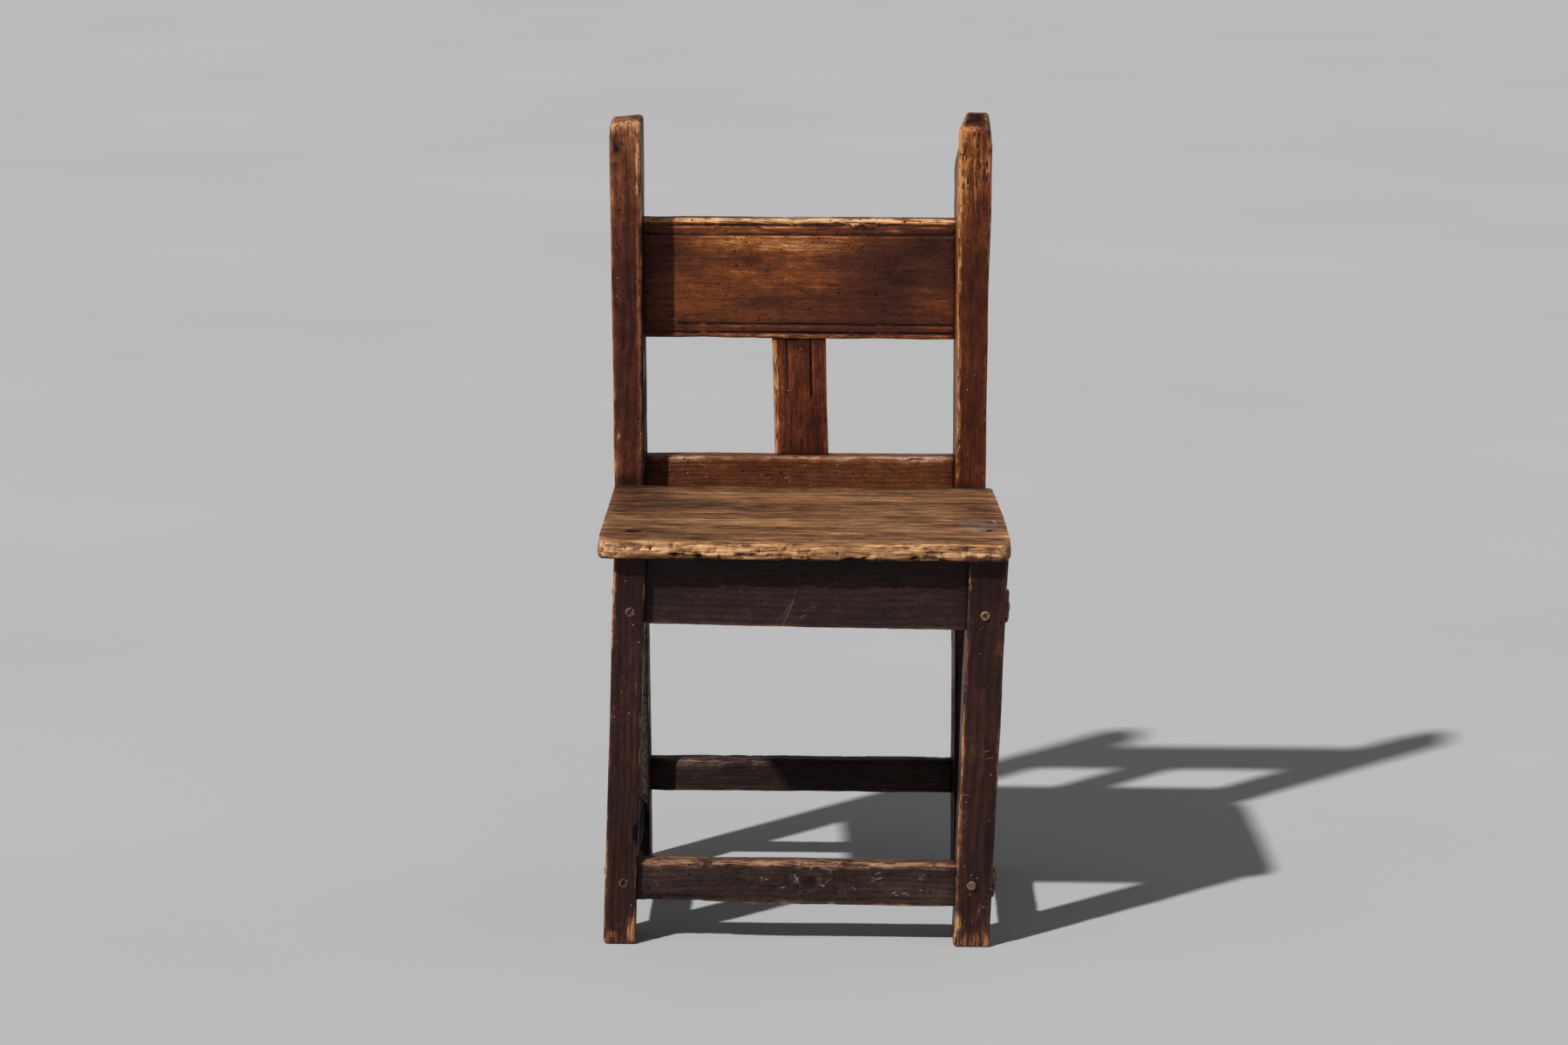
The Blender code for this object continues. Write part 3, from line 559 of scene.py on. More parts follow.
low, high = upright_ends(*LEFT_LEG_X, (LEG_FRONT, LEG_FRONT), LEG_DEPTH, (0.0, 0.0), (SEAT_UNDER, SEAT_UNDER))
left_leg = worn_stick(
    "front_leg_left", low, high, seed=3.1, arris=(0.0017, 0.0019, 0.0016, 0.0016), ends=(0.0034, 0.0),
    rub=(1.00, 1.15, 0.45, 0.55), rub_ends=(0.22, 0.0),
    chips=((1, 0.090, 0.015, 0.0030), (1, 0.014, 0.022, 0.0020), (0, 0.006, 0.014, 0.0024)),
    dents=((0, 0.050, 0.0168, 0.004, 0.004, 0.0005), (0, 0.020, 0.020, 0.010, 0.003, 0.0009)),
    bare_and_highlight=((0, 0.012, 0.0215, 0.010, 0.0045, 0.60), (0, 0.008, 0.007, 0.0035, 0.004, 0.55),
          (0, 0.016, 0.012, 0.003, 0.003, 0.40), (0, 0.19, 0.013, 0.07, 0.009, 0.16)),
    # dark: the patch at the top of the front face is painted shade under the seat, the long one on the inner
    # side face is painted shade; the rest are real marks
    dark=((0, 0.300, 0.0126, 0.03, 0.02, 0.35), (0, 0.016, 0.012, 0.012, 0.007, 0.35),
          (0, 0.090, 0.0242, 0.008, 0.002, 1.0), (1, 0.090, 0.002, 0.008, 0.004, 1.0),
          (1, 0.16, 0.021, 0.16, 0.05, 0.7)),
)
left_leg_wood = old_wood(
    "left_leg_wood", LEG_TONES, pith=(0.07, 0.10), holes=0.92, specks=0.52, contrast=0.70, mixing=LEG_MIXING,
    cracks=0.9, start=left_leg["origin_of_grain"],
)
place_piece(left_leg, "front_leg_left", left_leg_wood)

low, high = upright_ends(*RIGHT_LEG_X, (LEG_FRONT, LEG_FRONT), LEG_DEPTH, (0.0, 0.0), (SEAT_UNDER, SEAT_UNDER))
right_leg = worn_stick(
    "front_leg_right", low, high, seed=5.7, arris=(0.0024, 0.0020, 0.0016, 0.0016), ends=(0.0034, 0.0),
    rub=(1.15, 0.72, 0.45, 0.45), rub_ends=(0.45, 0.0),
    chips=((0, 0.018, 0.026, 0.0016), (1, 0.240, 0.012, 0.0018), (1, 0.016, 0.030, 0.0020),
           (1, 0.115, 0.020, 0.0012)),
    dents=((0, 0.022, 0.020, 0.012, 0.003, 0.0010), (0, 0.036, 0.024, 0.006, 0.002, 0.0008),
           (0, 0.008, 0.010, 0.004, 0.004, 0.0007)),
    bare_and_highlight=((0, 0.004, 0.014, 0.007, 0.018, 0.34), (0, 0.030, 0.0205, 0.006, 0.0022, 0.60),
          (0, 0.019, 0.0050, 0.006, 0.0040, 0.50), (0, 0.012, 0.0225, 0.008, 0.0030, 0.50),
          (0, 0.011, 0.0130, 0.004, 0.0040, 0.45), (0, 0.022, 0.0150, 0.003, 0.0030, 0.35),
          (0, 0.20, 0.010, 0.06, 0.010, 0.12)),
    # dark: the patch at the top of the front face is painted shade under the seat; the rest are real marks
    dark=((0, 0.300, 0.0126, 0.03, 0.02, 0.35), (0, 0.018, 0.012, 0.006, 0.006, 0.40),
          (0, 0.110, 0.0260, 0.06, 0.004, 0.40)),
)
right_leg_wood = old_wood(
    "right_leg_wood", LEG_TONES, pith=(-0.06, 0.09), holes=0.74, specks=0.55, contrast=0.70, mixing=LEG_MIXING,
    cracks=0.9, start=right_leg["origin_of_grain"],
    strokes=(((0.0170, 0.0, 0.1575), (0.0220, 0.0, 0.1590), 0.0004, PALE, 0.35),
             ((0.0195, 0.0, 0.1520), (0.0250, 0.0, 0.1535), 0.0004, PALE, 0.3),
             ((0.0030, 0.0, 0.1235), (0.0085, 0.0, 0.1225), 0.0004, PALE, 0.35),
             ((0.0070, 0.0, 0.0180), (0.0078, 0.0, 0.0330), 0.0009, BLACK, 0.8)),
)
place_piece(right_leg, "front_leg_right", right_leg_wood)


# Rear posts. Each is one long stick from the floor to the top of the back, raked backward, with
# a hand-worn top. Above the seat the wax is redder and the arrises are rubbed to gold.

POST_DEPTH = 0.0470
POST_FOOT = 0.08999
POST_RAKE = 0.040
POST_TOP = 0.6228
LEFT_POST_TOP = (0.6201, 0.6206)
RIGHT_POST_TOP = (0.6187, 0.6278)


def post_faces(faces):
    """Side faces of a post at any height, from the x of each at the floor and its drift to the top."""
    return lambda z: tuple(foot + drift_x * z / POST_TOP for foot, drift_x in faces)


left_post_x = post_faces(((-0.14655, -0.0130), (-0.12225, -0.0120)))
right_post_x = post_faces(((0.12635, -0.0045), (0.15005, 0.0004)))


def post_front(z):
    return POST_FOOT + POST_RAKE * z


def post_ends(faces, top, skew, tip=0.0):
    """Corners of a rear post; tip raises the right side of its top."""
    foot_x, top_x = faces(0.0), faces(top[0])
    ends = upright_ends(
        (foot_x[0], top_x[0]), (foot_x[1], top_x[1]), (post_front(0.0), post_front(top[0])),
        POST_DEPTH, (0.0, 0.0), top, skew,
    )
    ends[1] = [(x, y, z + (tip if k in (1, 2) else 0.0)) for k, (x, y, z) in enumerate(ends[1])]
    return ends


LEFT_POST_TONES = (
    (0.0250, 0.0070, 0.0041), (0.0720, 0.0195, 0.0096), (0.1550, 0.0470, 0.0205),
    (0.2800, 0.0980, 0.0320), (0.5200, 0.2700, 0.1250),
)
low, high = post_ends(left_post_x, LEFT_POST_TOP, (-0.0008, 0.0, 0.0014, -0.0008), 0.0026)
left_post = worn_stick(
    "rear_post_left", low, high, seed=11.3, arris=(0.0019, 0.0019, 0.0018, 0.0018), ends=(0.0020, 0.0042),
    rub=(1.00, 1.10, 0.60, 0.55), rub_ends=(0.3, 0.60), end_dirt=(0.0, -0.25),
    chips=((0, 0.605, 0.012, 0.0020), (0, 0.5925, 0.007, 0.0024), (0, 0.565, 0.010, 0.0014),
           (1, 0.470, 0.012, 0.0012)),
    dents=((0, 0.6055, 0.0040, 0.0050, 0.0030, 0.0014), (0, 0.6010, 0.0065, 0.0028, 0.0024, 0.0010),
           (0, 0.6085, 0.0120, 0.0020, 0.0090, 0.0004)),
    tapers=((3, 0.604, 0.624, 0.0010, 0.0),),
    bare_and_highlight=((0, 0.606, 0.018, 0.012, 0.010, 0.30), (0, 0.565, 0.006, 0.030, 0.006, 0.24),
          (0, 0.575, 0.021, 0.040, 0.005, 0.16), (0, 0.345, 0.003, 0.020, 0.004, 0.2),
          (0, 0.45, 0.006, 0.08, 0.006, 0.08), (0, 0.46, 0.0226, 0.20, 0.0016, 0.60),
          (2, 0.50, 0.012, 0.10, 0.012, 0.25)),
    # dark: the patches on the front face below the seat and on the inner side face are painted shade; the rest
    # are real marks
    dark=((0, 0.020, 0.012, 0.045, 0.03, 0.9), (0, 0.6050, 0.0042, 0.0060, 0.0032, 1.0),
          (0, 0.6000, 0.0065, 0.0030, 0.0022, 0.8), (0, 0.12, 0.012, 0.20, 0.03, 0.55),
          (1, 0.10, 0.02, 0.20, 0.05, 0.7), (1, 0.45, 0.0235, 0.22, 0.05, 0.8),
          (0, 0.328, 0.012, 0.006, 0.03, 0.5), (0, 0.49, 0.017, 0.05, 0.006, 0.22),
          (0, 0.39, 0.012, 0.03, 0.010, 0.22)),
)
left_post_wood = old_wood(
    "left_post_wood", LEFT_POST_TONES, pith=(0.05, 0.12), holes=0.70, contrast=0.85,
    start=left_post["origin_of_grain"],
    strokes=(((0.0075, 0.0, 0.6090), (0.0225, 0.0, 0.6062), 0.0006, BLACK, 0.7),
             ((0.0060, 0.0, 0.6048), (0.0130, 0.0, 0.6034), 0.0007, BLACK, 0.8),
             ((0.0036, 0.0, 0.5990), (0.0042, 0.0, 0.6095), 0.0009, BLACK, 0.9),
             ((0.0060, 0.0, 0.6005), (0.0058, 0.0, 0.6075), 0.0008, BLACK, 0.8),
             ((0.0042, 0.0, 0.3640), (0.0046, 0.0, 0.3668), 0.0010, PALE, 0.7),
             ((0.0200, 0.0, 0.06), (0.0200, 0.0, 0.25), 0.0120, DUST, 0.65)),
)
place_piece(left_post, "rear_post_left", left_post_wood)

RIGHT_POST_TONES = (
    (0.0290, 0.0068, 0.0032), (0.0740, 0.0165, 0.0058), (0.1450, 0.0370, 0.0110),
    (0.3000, 0.0960, 0.0260), (0.5100, 0.2250, 0.0740),
)
low, high = post_ends(right_post_x, RIGHT_POST_TOP, (0.0018, 0.0, 0.0, 0.0))
right_post = worn_stick(
    "rear_post_right", low, high, seed=14.9, arris=(0.0021, 0.0019, 0.0018, 0.0018), ends=(0.0020, 0.0042),
    rub=(0.80, 0.80, 0.5, 0.75), rub_ends=(0.3, 0.50), end_dirt=(0.0, 0.80),
    chips=((0, 0.560, 0.012, 0.0012), (1, 0.596, 0.016, 0.0014), (0, 0.36, 0.008, 0.0016)),
    dents=((0, 0.585, 0.013, 0.020, 0.008, 0.0006),),
    tapers=((3, 0.575, 0.626, 0.0088, 1.0), (1, 0.606, 0.628, 0.0022, 0.0), (1, 0.480, 0.570, -0.0014, 0.0)),
    # bare: the two patches on the inner side face are partly worn wood and partly painted sunlight
    bare_and_highlight=((0, 0.594, 0.013, 0.022, 0.018, 0.84), (0, 0.550, 0.010, 0.030, 0.010, 0.36),
          (0, 0.48, 0.014, 0.06, 0.008, 0.12), (3, 0.53, 0.042, 0.12, 0.020, 0.72),
          (3, 0.38, 0.042, 0.08, 0.018, 0.50)),
    # dark: the patches on the front face below the seat and on the inner side face below the seat are painted
    # shade; the rest are real marks
    dark=((0, 0.12, 0.012, 0.20, 0.03, 0.55), (3, 0.12, 0.02, 0.20, 0.05, 0.8),
          (0, 0.328, 0.012, 0.005, 0.03, 0.4), (0, 0.500, 0.012, 0.042, 0.014, 0.40)),
)
chance = np.random.default_rng(11)
pits = []
PIT_FIELDS = (          # middle across, spread, from, to, number
    (0.0185, 0.0045, 0.576, 0.600, 15), (0.0065, 0.0032, 0.574, 0.602, 8), (0.0120, 0.0060, 0.552, 0.612, 7),
)
for middle, spread, low_end, high_end, number in PIT_FIELDS:
    for _ in range(number):
        across, place = middle + chance.uniform(-spread, spread), chance.uniform(low_end, high_end)
        run = chance.uniform(0.002, 0.008)
        half = chance.uniform(0.0007, 0.0012)
        pits.append(((across, 0.0, place), (across + 0.0004, 0.0, place + run), half, BLACK, 0.9))
right_post_wood = old_wood(
    "right_post_wood", RIGHT_POST_TONES, pith=(-0.04, 0.11), holes=0.70, contrast=0.80,
    start=right_post["origin_of_grain"], strokes=pits,
)
place_piece(right_post, "rear_post_right", right_post_wood)


# Rails under the seat. The front rail is a plain board nearly black with old wax; its tenon runs
# right through the right leg. Rear and side rails are plain and unseen from the front.

BURIED = 0.0010        # shoulders are scribed to the uprights and run this far under their faces


def leg_face(line):
    """Side face of a front leg: its x at any height, from its x at foot and top."""
    return lambda z: line[0] + (line[1] - line[0]) * z / SEAT_UNDER


left_leg_inner = leg_face(LEFT_LEG_X[1])
right_leg_inner = leg_face(RIGHT_LEG_X[0])


def post_left_inner(z):
    return left_post_x(z)[1]


def post_right_inner(z):
    return right_post_x(z)[0]


def rail_ends(left_face, right_face, face, thick, bottom, top):
    """Corners of a rail from left to right; each end follows the face it meets."""
    ends = []
    for i, (meets, sign) in enumerate(((left_face, -1), (right_face, 1))):
        corners = ((0.0, bottom[i]), (thick, bottom[i]), (thick, top[i]), (0.0, top[i]))
        ends.append([(meets(z) + sign * BURIED, face(z) + y, z) for y, z in corners])
    return ends


def back_rail_ends(setback, thick, bottom, top):
    """The same for a rail between the posts, set back from their front faces."""
    return rail_ends(post_left_inner, post_right_inner, lambda z: post_front(z) + setback, thick, bottom, top)


RAIL_TONES = (
    (0.0100, 0.0048, 0.0042), (0.0270, 0.0130, 0.0112), (0.0560, 0.0280, 0.0230),
    (0.1400, 0.0520, 0.0260), (0.3000, 0.1500, 0.0800),
)
RAIL_THICK = 0.018
RAIL_SETBACK = 0.0086
RAIL_FACE = LEG_FRONT + RAIL_SETBACK
low, high = rail_ends(
    left_leg_inner, right_leg_inner, lambda z: RAIL_FACE, RAIL_THICK, (0.2556, 0.2520), (SEAT_UNDER, SEAT_UNDER)
)
front_rail = worn_stick(
    "front_seat_rail", low, high, seed=21.7, arris=(0.0014, 0.0014, 0.0010, 0.0010), rub=(0.80, 0.4, 0.1, 0.1),
    chips=((0, 0.110, 0.020, 0.0008), (0, 0.205, 0.014, 0.0009)),
    # the dark band along the top of the front face is painted shade under the seat's overhang
    joint_dirt=(0.7, 0.5), dark=((3, 0.125, 0.0, 0.2, 0.026, 0.48),),
)
SCRATCH = (0.17, 0.085, 0.055)
chance = np.random.default_rng(7)
scratches = [((0.0, 0.050, 0.123), (0.0, 0.018, 0.115), 0.0004, SCRATCH, 0.55),
             ((0.0, 0.022, 0.117), (0.0, 0.002, 0.109), 0.0005, SCRATCH, 0.75),
             ((0.0, 0.010, 0.1095), (0.0, 0.018, 0.1135), 0.0004, SCRATCH, 0.6),
             ((0.0, 0.052, 0.147), (0.0, 0.020, 0.150), 0.0004, SCRATCH, 0.4),
             ((0.0, 0.045, 0.056), (0.0, 0.030, 0.058), 0.0004, SCRATCH, 0.4)]
for _ in range(14):
    place, level = chance.uniform(0.015, 0.24), chance.uniform(0.004, 0.030)
    run, rise = chance.uniform(-0.004, 0.004), chance.uniform(-0.004, 0.004)
    strength = chance.uniform(0.3, 0.7)
    scratches.append(((0.0, level, place), (0.0, level + rise, place + run), 0.0004, SCRATCH, strength))
front_rail_wood = old_wood(
    "front_rail_wood", RAIL_TONES, pith=(0.10, 0.06), specks=0.40, gloss=0.38, holes=0.4, contrast=0.62,
    mixing=(0.80, 0.18, 0.30, 0.60, 0.60), start=front_rail["origin_of_grain"], strokes=scratches,
)
place_piece(front_rail, "front_seat_rail", front_rail_wood)

REAR_RAIL_SETBACK = 0.019
low, high = back_rail_ends(REAR_RAIL_SETBACK, RAIL_THICK, (0.2620, 0.2620), (SEAT_UNDER, SEAT_UNDER))
rear_rail = worn_stick("rear_seat_rail", low, high, seed=23.9, arris=0.0014, rub=0.45, joint_dirt=(0.6, 0.6))
rear_rail_wood = old_wood("rear_rail_wood", RAIL_TONES, pith=(0.08, 0.07))
place_piece(rear_rail, "rear_seat_rail", rear_rail_wood)


def side_ends(leg_x, post_x, thick, bottom, top):
    """Corners of a rail from the back of a leg to the front of a post, in the middle of both."""
    level = (bottom + top) / 2
    ends = []
    leg_back = lambda z: LEG_FRONT + LEG_DEPTH - BURIED
    corners = ((bottom, -1), (top, -1), (top, 1), (bottom, 1))
    for x, face in ((leg_x, leg_back), (post_x, lambda z: post_front(z) + BURIED)):
        middle = x(level)
        ends.append([(middle + side * thick / 2, face(z), z) for z, side in corners])
    return ends


def leg_middle(faces):
    return lambda z: sum(leg_face(line)(z) for line in faces) / 2


def post_middle(faces):
    return lambda z: sum(faces(z)) / 2


SIDES = {
    "left": (leg_middle(LEFT_LEG_X), post_middle(left_post_x)),
    "right": (leg_middle(RIGHT_LEG_X), post_middle(right_post_x)),
}
SIDE_RAIL_LOW = 0.2550
SIDE_RAIL_THICK = 0.019
for i, (side, (leg_x, post_x)) in enumerate(SIDES.items()):
    low, high = side_ends(leg_x, post_x, SIDE_RAIL_THICK, SIDE_RAIL_LOW, SEAT_UNDER)
    rail = worn_stick(
        f"side_seat_rail_{side}", low, high, seed=26.3 + 2.9 * i, arris=0.0014, rub=0.6, joint_dirt=(0.6, 0.6)
    )
    wood = old_wood(f"side_rail_wood_{side}", LEG_TONES, pith=(0.07 - 0.15 * i, 0.08))
    place_piece(rail, f"side_seat_rail_{side}", wood)


# Stretchers near the floor. The front one is rubbed coppery along its top by feet, is bruised
# round a knot and has lost a splinter at its lower left; glints and lit dent rims round the knot
# are painted highlights. The rear one was left rough on top.

STRETCHER_TONES = (
    (0.0105, 0.0056, 0.0046), (0.0300, 0.0155, 0.0118), (0.0620, 0.0330, 0.0240),
    (0.1900, 0.0800, 0.0420), (0.3600, 0.1950, 0.1150),
)
STRETCHER_SETBACK = 0.0055
STRETCHER_FACE = LEG_FRONT + STRETCHER_SETBACK
STRETCHER_THICK = 0.016
low, high = rail_ends(
    left_leg_inner, right_leg_inner, lambda z: STRETCHER_FACE, STRETCHER_THICK, (0.0328, 0.0315),
    (0.0677, 0.0664)
)
front_stretcher = worn_stick(
    "front_stretcher", low, high, seed=33.1, arris=(0.0016, 0.0014, 0.0018, 0.0034),
    rub=(1.05, 0.4, 0.75, 0.85), joint_dirt=(0.7, 0.4),
    chips=((3, 0.165, 0.05, 0.0008), (3, 0.070, 0.03, 0.0006), (0, 0.028, 0.056, 0.0034)),
    dents=((3, 0.137, 0.016, 0.0070, 0.0060, 0.0022), (3, 0.137, 0.016, 0.0030, 0.0026, -0.0018),
           (3, 0.092, 0.018, 0.004, 0.0024, 0.0018), (3, 0.110, 0.020, 0.004, 0.0028, 0.0018),
           (3, 0.121, 0.015, 0.0030, 0.0050, 0.0017), (3, 0.160, 0.022, 0.004, 0.006, 0.0015),
           (3, 0.165, 0.011, 0.003, 0.003, 0.0014), (3, 0.014, 0.007, 0.003, 0.003, 0.0012),
           (3, 0.014, 0.021, 0.005, 0.004, 0.0014), (3, 0.101, 0.021, 0.002, 0.002, 0.0012),
           (3, 0.128, 0.023, 0.002, 0.003, 0.0013), (3, 0.150, 0.012, 0.003, 0.002, 0.0012),
           (3, 0.200, 0.016, 0.010, 0.003, 0.0005), (3, 0.185, 0.026, 0.012, 0.003, 0.0005),
           (0, 0.020, 0.001, 0.034, 0.006, 0.0036)),
    # bare: the first patch is the top rubbed by feet; the small patches at the dents are painted highlights on
    # their rims
    bare_and_highlight=((2, 0.125, 0.008, 0.16, 0.016, 0.68), (3, 0.030, 0.0325, 0.030, 0.0016, 0.45),
          (3, 0.136, 0.0095, 0.006, 0.0018, 0.45), (3, 0.144, 0.015, 0.0022, 0.005, 0.45),
          (3, 0.129, 0.018, 0.0020, 0.005, 0.40), (3, 0.138, 0.023, 0.006, 0.0018, 0.40),
          (3, 0.092, 0.0155, 0.006, 0.0014, 0.45), (3, 0.109, 0.0175, 0.005, 0.0014, 0.45),
          (3, 0.121, 0.0120, 0.0022, 0.003, 0.40), (3, 0.160, 0.0190, 0.004, 0.0022, 0.35),
          (3, 0.014, 0.0185, 0.005, 0.0018, 0.35)),
    dark=((3, 0.028, 0.0290, 0.030, 0.0014, 0.9), (3, 0.137, 0.016, 0.004, 0.003, 0.55),
          (3, 0.110, 0.0205, 0.004, 0.0014, 0.5), (3, 0.093, 0.0185, 0.005, 0.0012, 0.5),
          (3, 0.205, 0.024, 0.045, 0.010, -0.30)),
)
GLINT = (0.33, 0.27, 0.25)
KNOT = (0.1436, 0.0228)        # along, up
KNOT_SIZE = (0.0105, 0.0088)
chance = np.random.default_rng(19)
painted_glints = []


def paint_glint(level, place, slope, longest):
    """One short painted glint, where a raised fibre would catch the light; slope is its angle to the grain."""
    run = chance.uniform(0.35, 1.0) * longest
    slope += chance.uniform(-0.45, 0.45)
    end = (0.0, level + run * np.sin(slope), place + run * np.cos(slope))
    half = chance.uniform(0.0004, 0.0008)
    painted_glints.append(((0.0, level, place), end, half, GLINT, chance.uniform(0.25, 0.60)))


# painted glints in a broken ring round the knot
for turn in np.linspace(-2.9, 2.6, 24):
    out = chance.choice((0.50, 0.80, 1.0)) * chance.uniform(0.88, 1.08)
    level = KNOT[1] + KNOT_SIZE[1] * out * np.sin(turn)
    place = KNOT[0] + KNOT_SIZE[0] * out * np.cos(turn)
    paint_glint(level, place, turn + 1.57, 0.0036)
# clusters of painted glints on the bruised face
GLINT_CLUSTERS = (             # height, place along, slope, number
    (0.0190, 0.0960, 0.5, 5), (0.0150, 0.1120, 0.1, 4), (0.0215, 0.1210, -1.2, 3), (0.0165, 0.1220, -0.4, 3),
    (0.0120, 0.1680, -0.9, 5), (0.0095, 0.2060, 0.3, 3), (0.0300, 0.0180, -1.4, 3), (0.0145, 0.0170, 0.0, 4),
    (0.0235, 0.1900, 0.1, 4), (0.0245, 0.2230, 0.1, 3), (0.0290, 0.0340, 0.1, 2),
)
for level, place, slope, number in GLINT_CLUSTERS:
    for _ in range(number):
        paint_glint(level + chance.uniform(-0.0032, 0.0032), place + chance.uniform(-0.0065, 0.0065), slope, 0.0042)
front_stretcher_wood = old_wood(
    "front_stretcher_wood", STRETCHER_TONES, pith=(0.05, 0.03), ring=0.0028, specks=0.86, gloss=0.36,
    relief=0.8, contrast=0.75, mixing=(0.80, 0.14, 0.24, 0.60, 0.60), start=front_stretcher["origin_of_grain"],
    strokes=painted_glints,
)
place_piece(front_stretcher, "front_stretcher", front_stretcher_wood)

REAR_STRETCHER_SETBACK = 0.0275
REAR_STRETCHER_THICK = 0.0185
low, high = back_rail_ends(REAR_STRETCHER_SETBACK, REAR_STRETCHER_THICK, (0.0642, 0.0642), (0.0910, 0.0922))
rear_stretcher = worn_stick(
    "rear_stretcher", low, high, seed=37.7, arris=(0.0016, 0.0016, 0.0030, 0.0052), rub=(0.50, 0.3, 0.3, 0.22),
    chips=((3, 0.040, 0.05, 0.0022), (3, 0.100, 0.04, 0.0014), (3, 0.21, 0.05, 0.0018)),
    dents=((2, 0.045, 0.014, 0.03, 0.004, 0.0010), (2, 0.060, 0.010, 0.02, 0.003, 0.0014)),
    bare_and_highlight=((2, 0.055, 0.010, 0.05, 0.010, 0.42), (3, 0.055, 0.001, 0.045, 0.0026, 0.30)),
    joint_dirt=(0.6, 0.6), wave=0.0006,
)
REAR_TONES = (
    (0.0080, 0.0042, 0.0036), (0.0205, 0.0106, 0.0092), (0.0430, 0.0230, 0.0180),
    (0.1150, 0.0720, 0.0530), (0.3000, 0.2150, 0.1600),
)
rear_wood = old_wood(
    "rear_stretcher_wood", REAR_TONES, pith=(0.06, 0.05), relief=0.9, specks=0.86, contrast=0.75
)
place_piece(rear_stretcher, "rear_stretcher", rear_wood)

SIDE_STRETCHER_LOW = {"left": 0.0380, "right": 0.0420}
SIDE_STRETCHER_TALL = 0.026
SIDE_STRETCHER_THICK = 0.017
for i, (side, (leg_x, post_x)) in enumerate(SIDES.items()):
    bottom = SIDE_STRETCHER_LOW[side]
    low, high = side_ends(leg_x, post_x, SIDE_STRETCHER_THICK, bottom, bottom + SIDE_STRETCHER_TALL)
    rail = worn_stick(
        f"side_stretcher_{side}", low, high, seed=41.3 + 3.3 * i, arris=(0.0016, 0.0030, 0.0030, 0.0016),
        rub=(0.45, 0.75, 0.75, 0.45), joint_dirt=(0.6, 0.6),
        dark=((2 - 2 * i, 0.10, 0.013, 0.20, 0.03, 0.9),),      # the face turned to the middle, painted dark: painted shade
    )
    pith = (0.06 - 0.12 * i, 0.05)
    wood = old_wood(f"side_stretcher_wood_{side}", STRETCHER_TONES, pith=pith, specks=0.86, gloss=0.75)
    place_piece(rail, f"side_stretcher_{side}", wood)


# Back. A low rail standing on the rear seat rail carries a narrow splat, tongued up into a broad
# crest board. The crest has two scratched lines along each long edge, the splat two down its face.

LOW_RAIL_TONES = (
    (0.0380, 0.0100, 0.0045), (0.1000, 0.0280, 0.0100), (0.1900, 0.0600, 0.0210),
    (0.2700, 0.1150, 0.0560), (0.4300, 0.2900, 0.2000),
)
LOW_RAIL_SETBACK = 0.0245
LOW_RAIL_THICK = 0.021
low, high = back_rail_ends(LOW_RAIL_SETBACK, LOW_RAIL_THICK, (0.3124, 0.3124), (0.3445, 0.3454))
low_rail = worn_stick(
    "lower_back_rail", low, high, seed=51.9, arris=(0.0012, 0.0014, 0.0020, 0.0026), rub=(0.25, 0.3, 0.6, 0.85),
    chips=((3, 0.030, 0.030, 0.0012), (3, 0.150, 0.040, 0.0010), (3, 0.215, 0.020, 0.0014)),
    dents=((3, 0.118, 0.010, 0.004, 0.006, 0.0004), (3, 0.060, 0.009, 0.010, 0.004, 0.0005)),
    joint_dirt=(0.7, 0.9), bare_and_highlight=((2, 0.125, 0.009, 0.15, 0.02, 0.45), (3, 0.060, 0.009, 0.012, 0.004, 0.20)),
)
low_rail_wood = old_wood(
    "lower_rail_wood", LOW_RAIL_TONES, pith=(0.04, 0.10), contrast=0.75, holes=0.45,
    start=low_rail["origin_of_grain"],
    strokes=(((0.0, 0.029, 0.106), (0.0, 0.010, 0.118), 0.0008, BLACK, 0.8),
             ((0.0, 0.028, 0.112), (0.0, 0.012, 0.110), 0.0007, BLACK, 0.7),
             ((0.0, 0.026, 0.045), (0.0, 0.022, 0.060), 0.0007, PALE, 0.35),
             ((0.0, 0.024, 0.200), (0.0, 0.020, 0.206), 0.0007, BLACK, 0.7)),
)
place_piece(low_rail, "lower_back_rail", low_rail_wood)

SPLAT_TONES = (
    (0.0400, 0.0085, 0.0038), (0.1120, 0.0255, 0.0088), (0.2100, 0.0560, 0.0170),
    (0.3100, 0.1050, 0.0330), (0.5000, 0.2400, 0.0900),
)
SPLAT_FOOT = 0.3446
SPLAT_HEAD = 0.4406
SPLAT_SETBACK = 0.0345
SPLAT_THICK = 0.009
splat_front = [post_front(z) + SPLAT_SETBACK for z in (SPLAT_FOOT, SPLAT_HEAD)]
low, high = upright_ends(
    (-0.0228, -0.0258), (0.0216, 0.0186), splat_front, SPLAT_THICK, (SPLAT_FOOT, SPLAT_FOOT),
    (SPLAT_HEAD, SPLAT_HEAD)
)
splat = worn_stick(
    "back_splat", low, high, seed=57.3, arris=(0.0034, 0.0012, 0.0014, 0.0016), rub=(1.0, 0.45, 0.4, 0.7),
    lines=((0, 0.0121, 0.0012, 0.050, 0.099), (0, 0.0317, 0.0012, 0.048, 0.099)),
    joint_dirt=(0.7, 0.8), gap=0.0016,
    bare_and_highlight=((3, 0.05, 0.005, 0.1, 0.01, 0.55), (0, 0.05, 0.001, 0.1, 0.003, 0.30)),
    dark=((0, 0.090, 0.019, 0.006, 0.010, 0.25),),
)
splat_wood = old_wood(
    "splat_wood", SPLAT_TONES, pith=(0.02, 0.09), specks=0.80, holes=0.5, contrast=1.05,
    mixing=(0.90, 0.60, 0.45, 0.55, 0.50),
)
place_piece(splat, "back_splat", splat_wood)

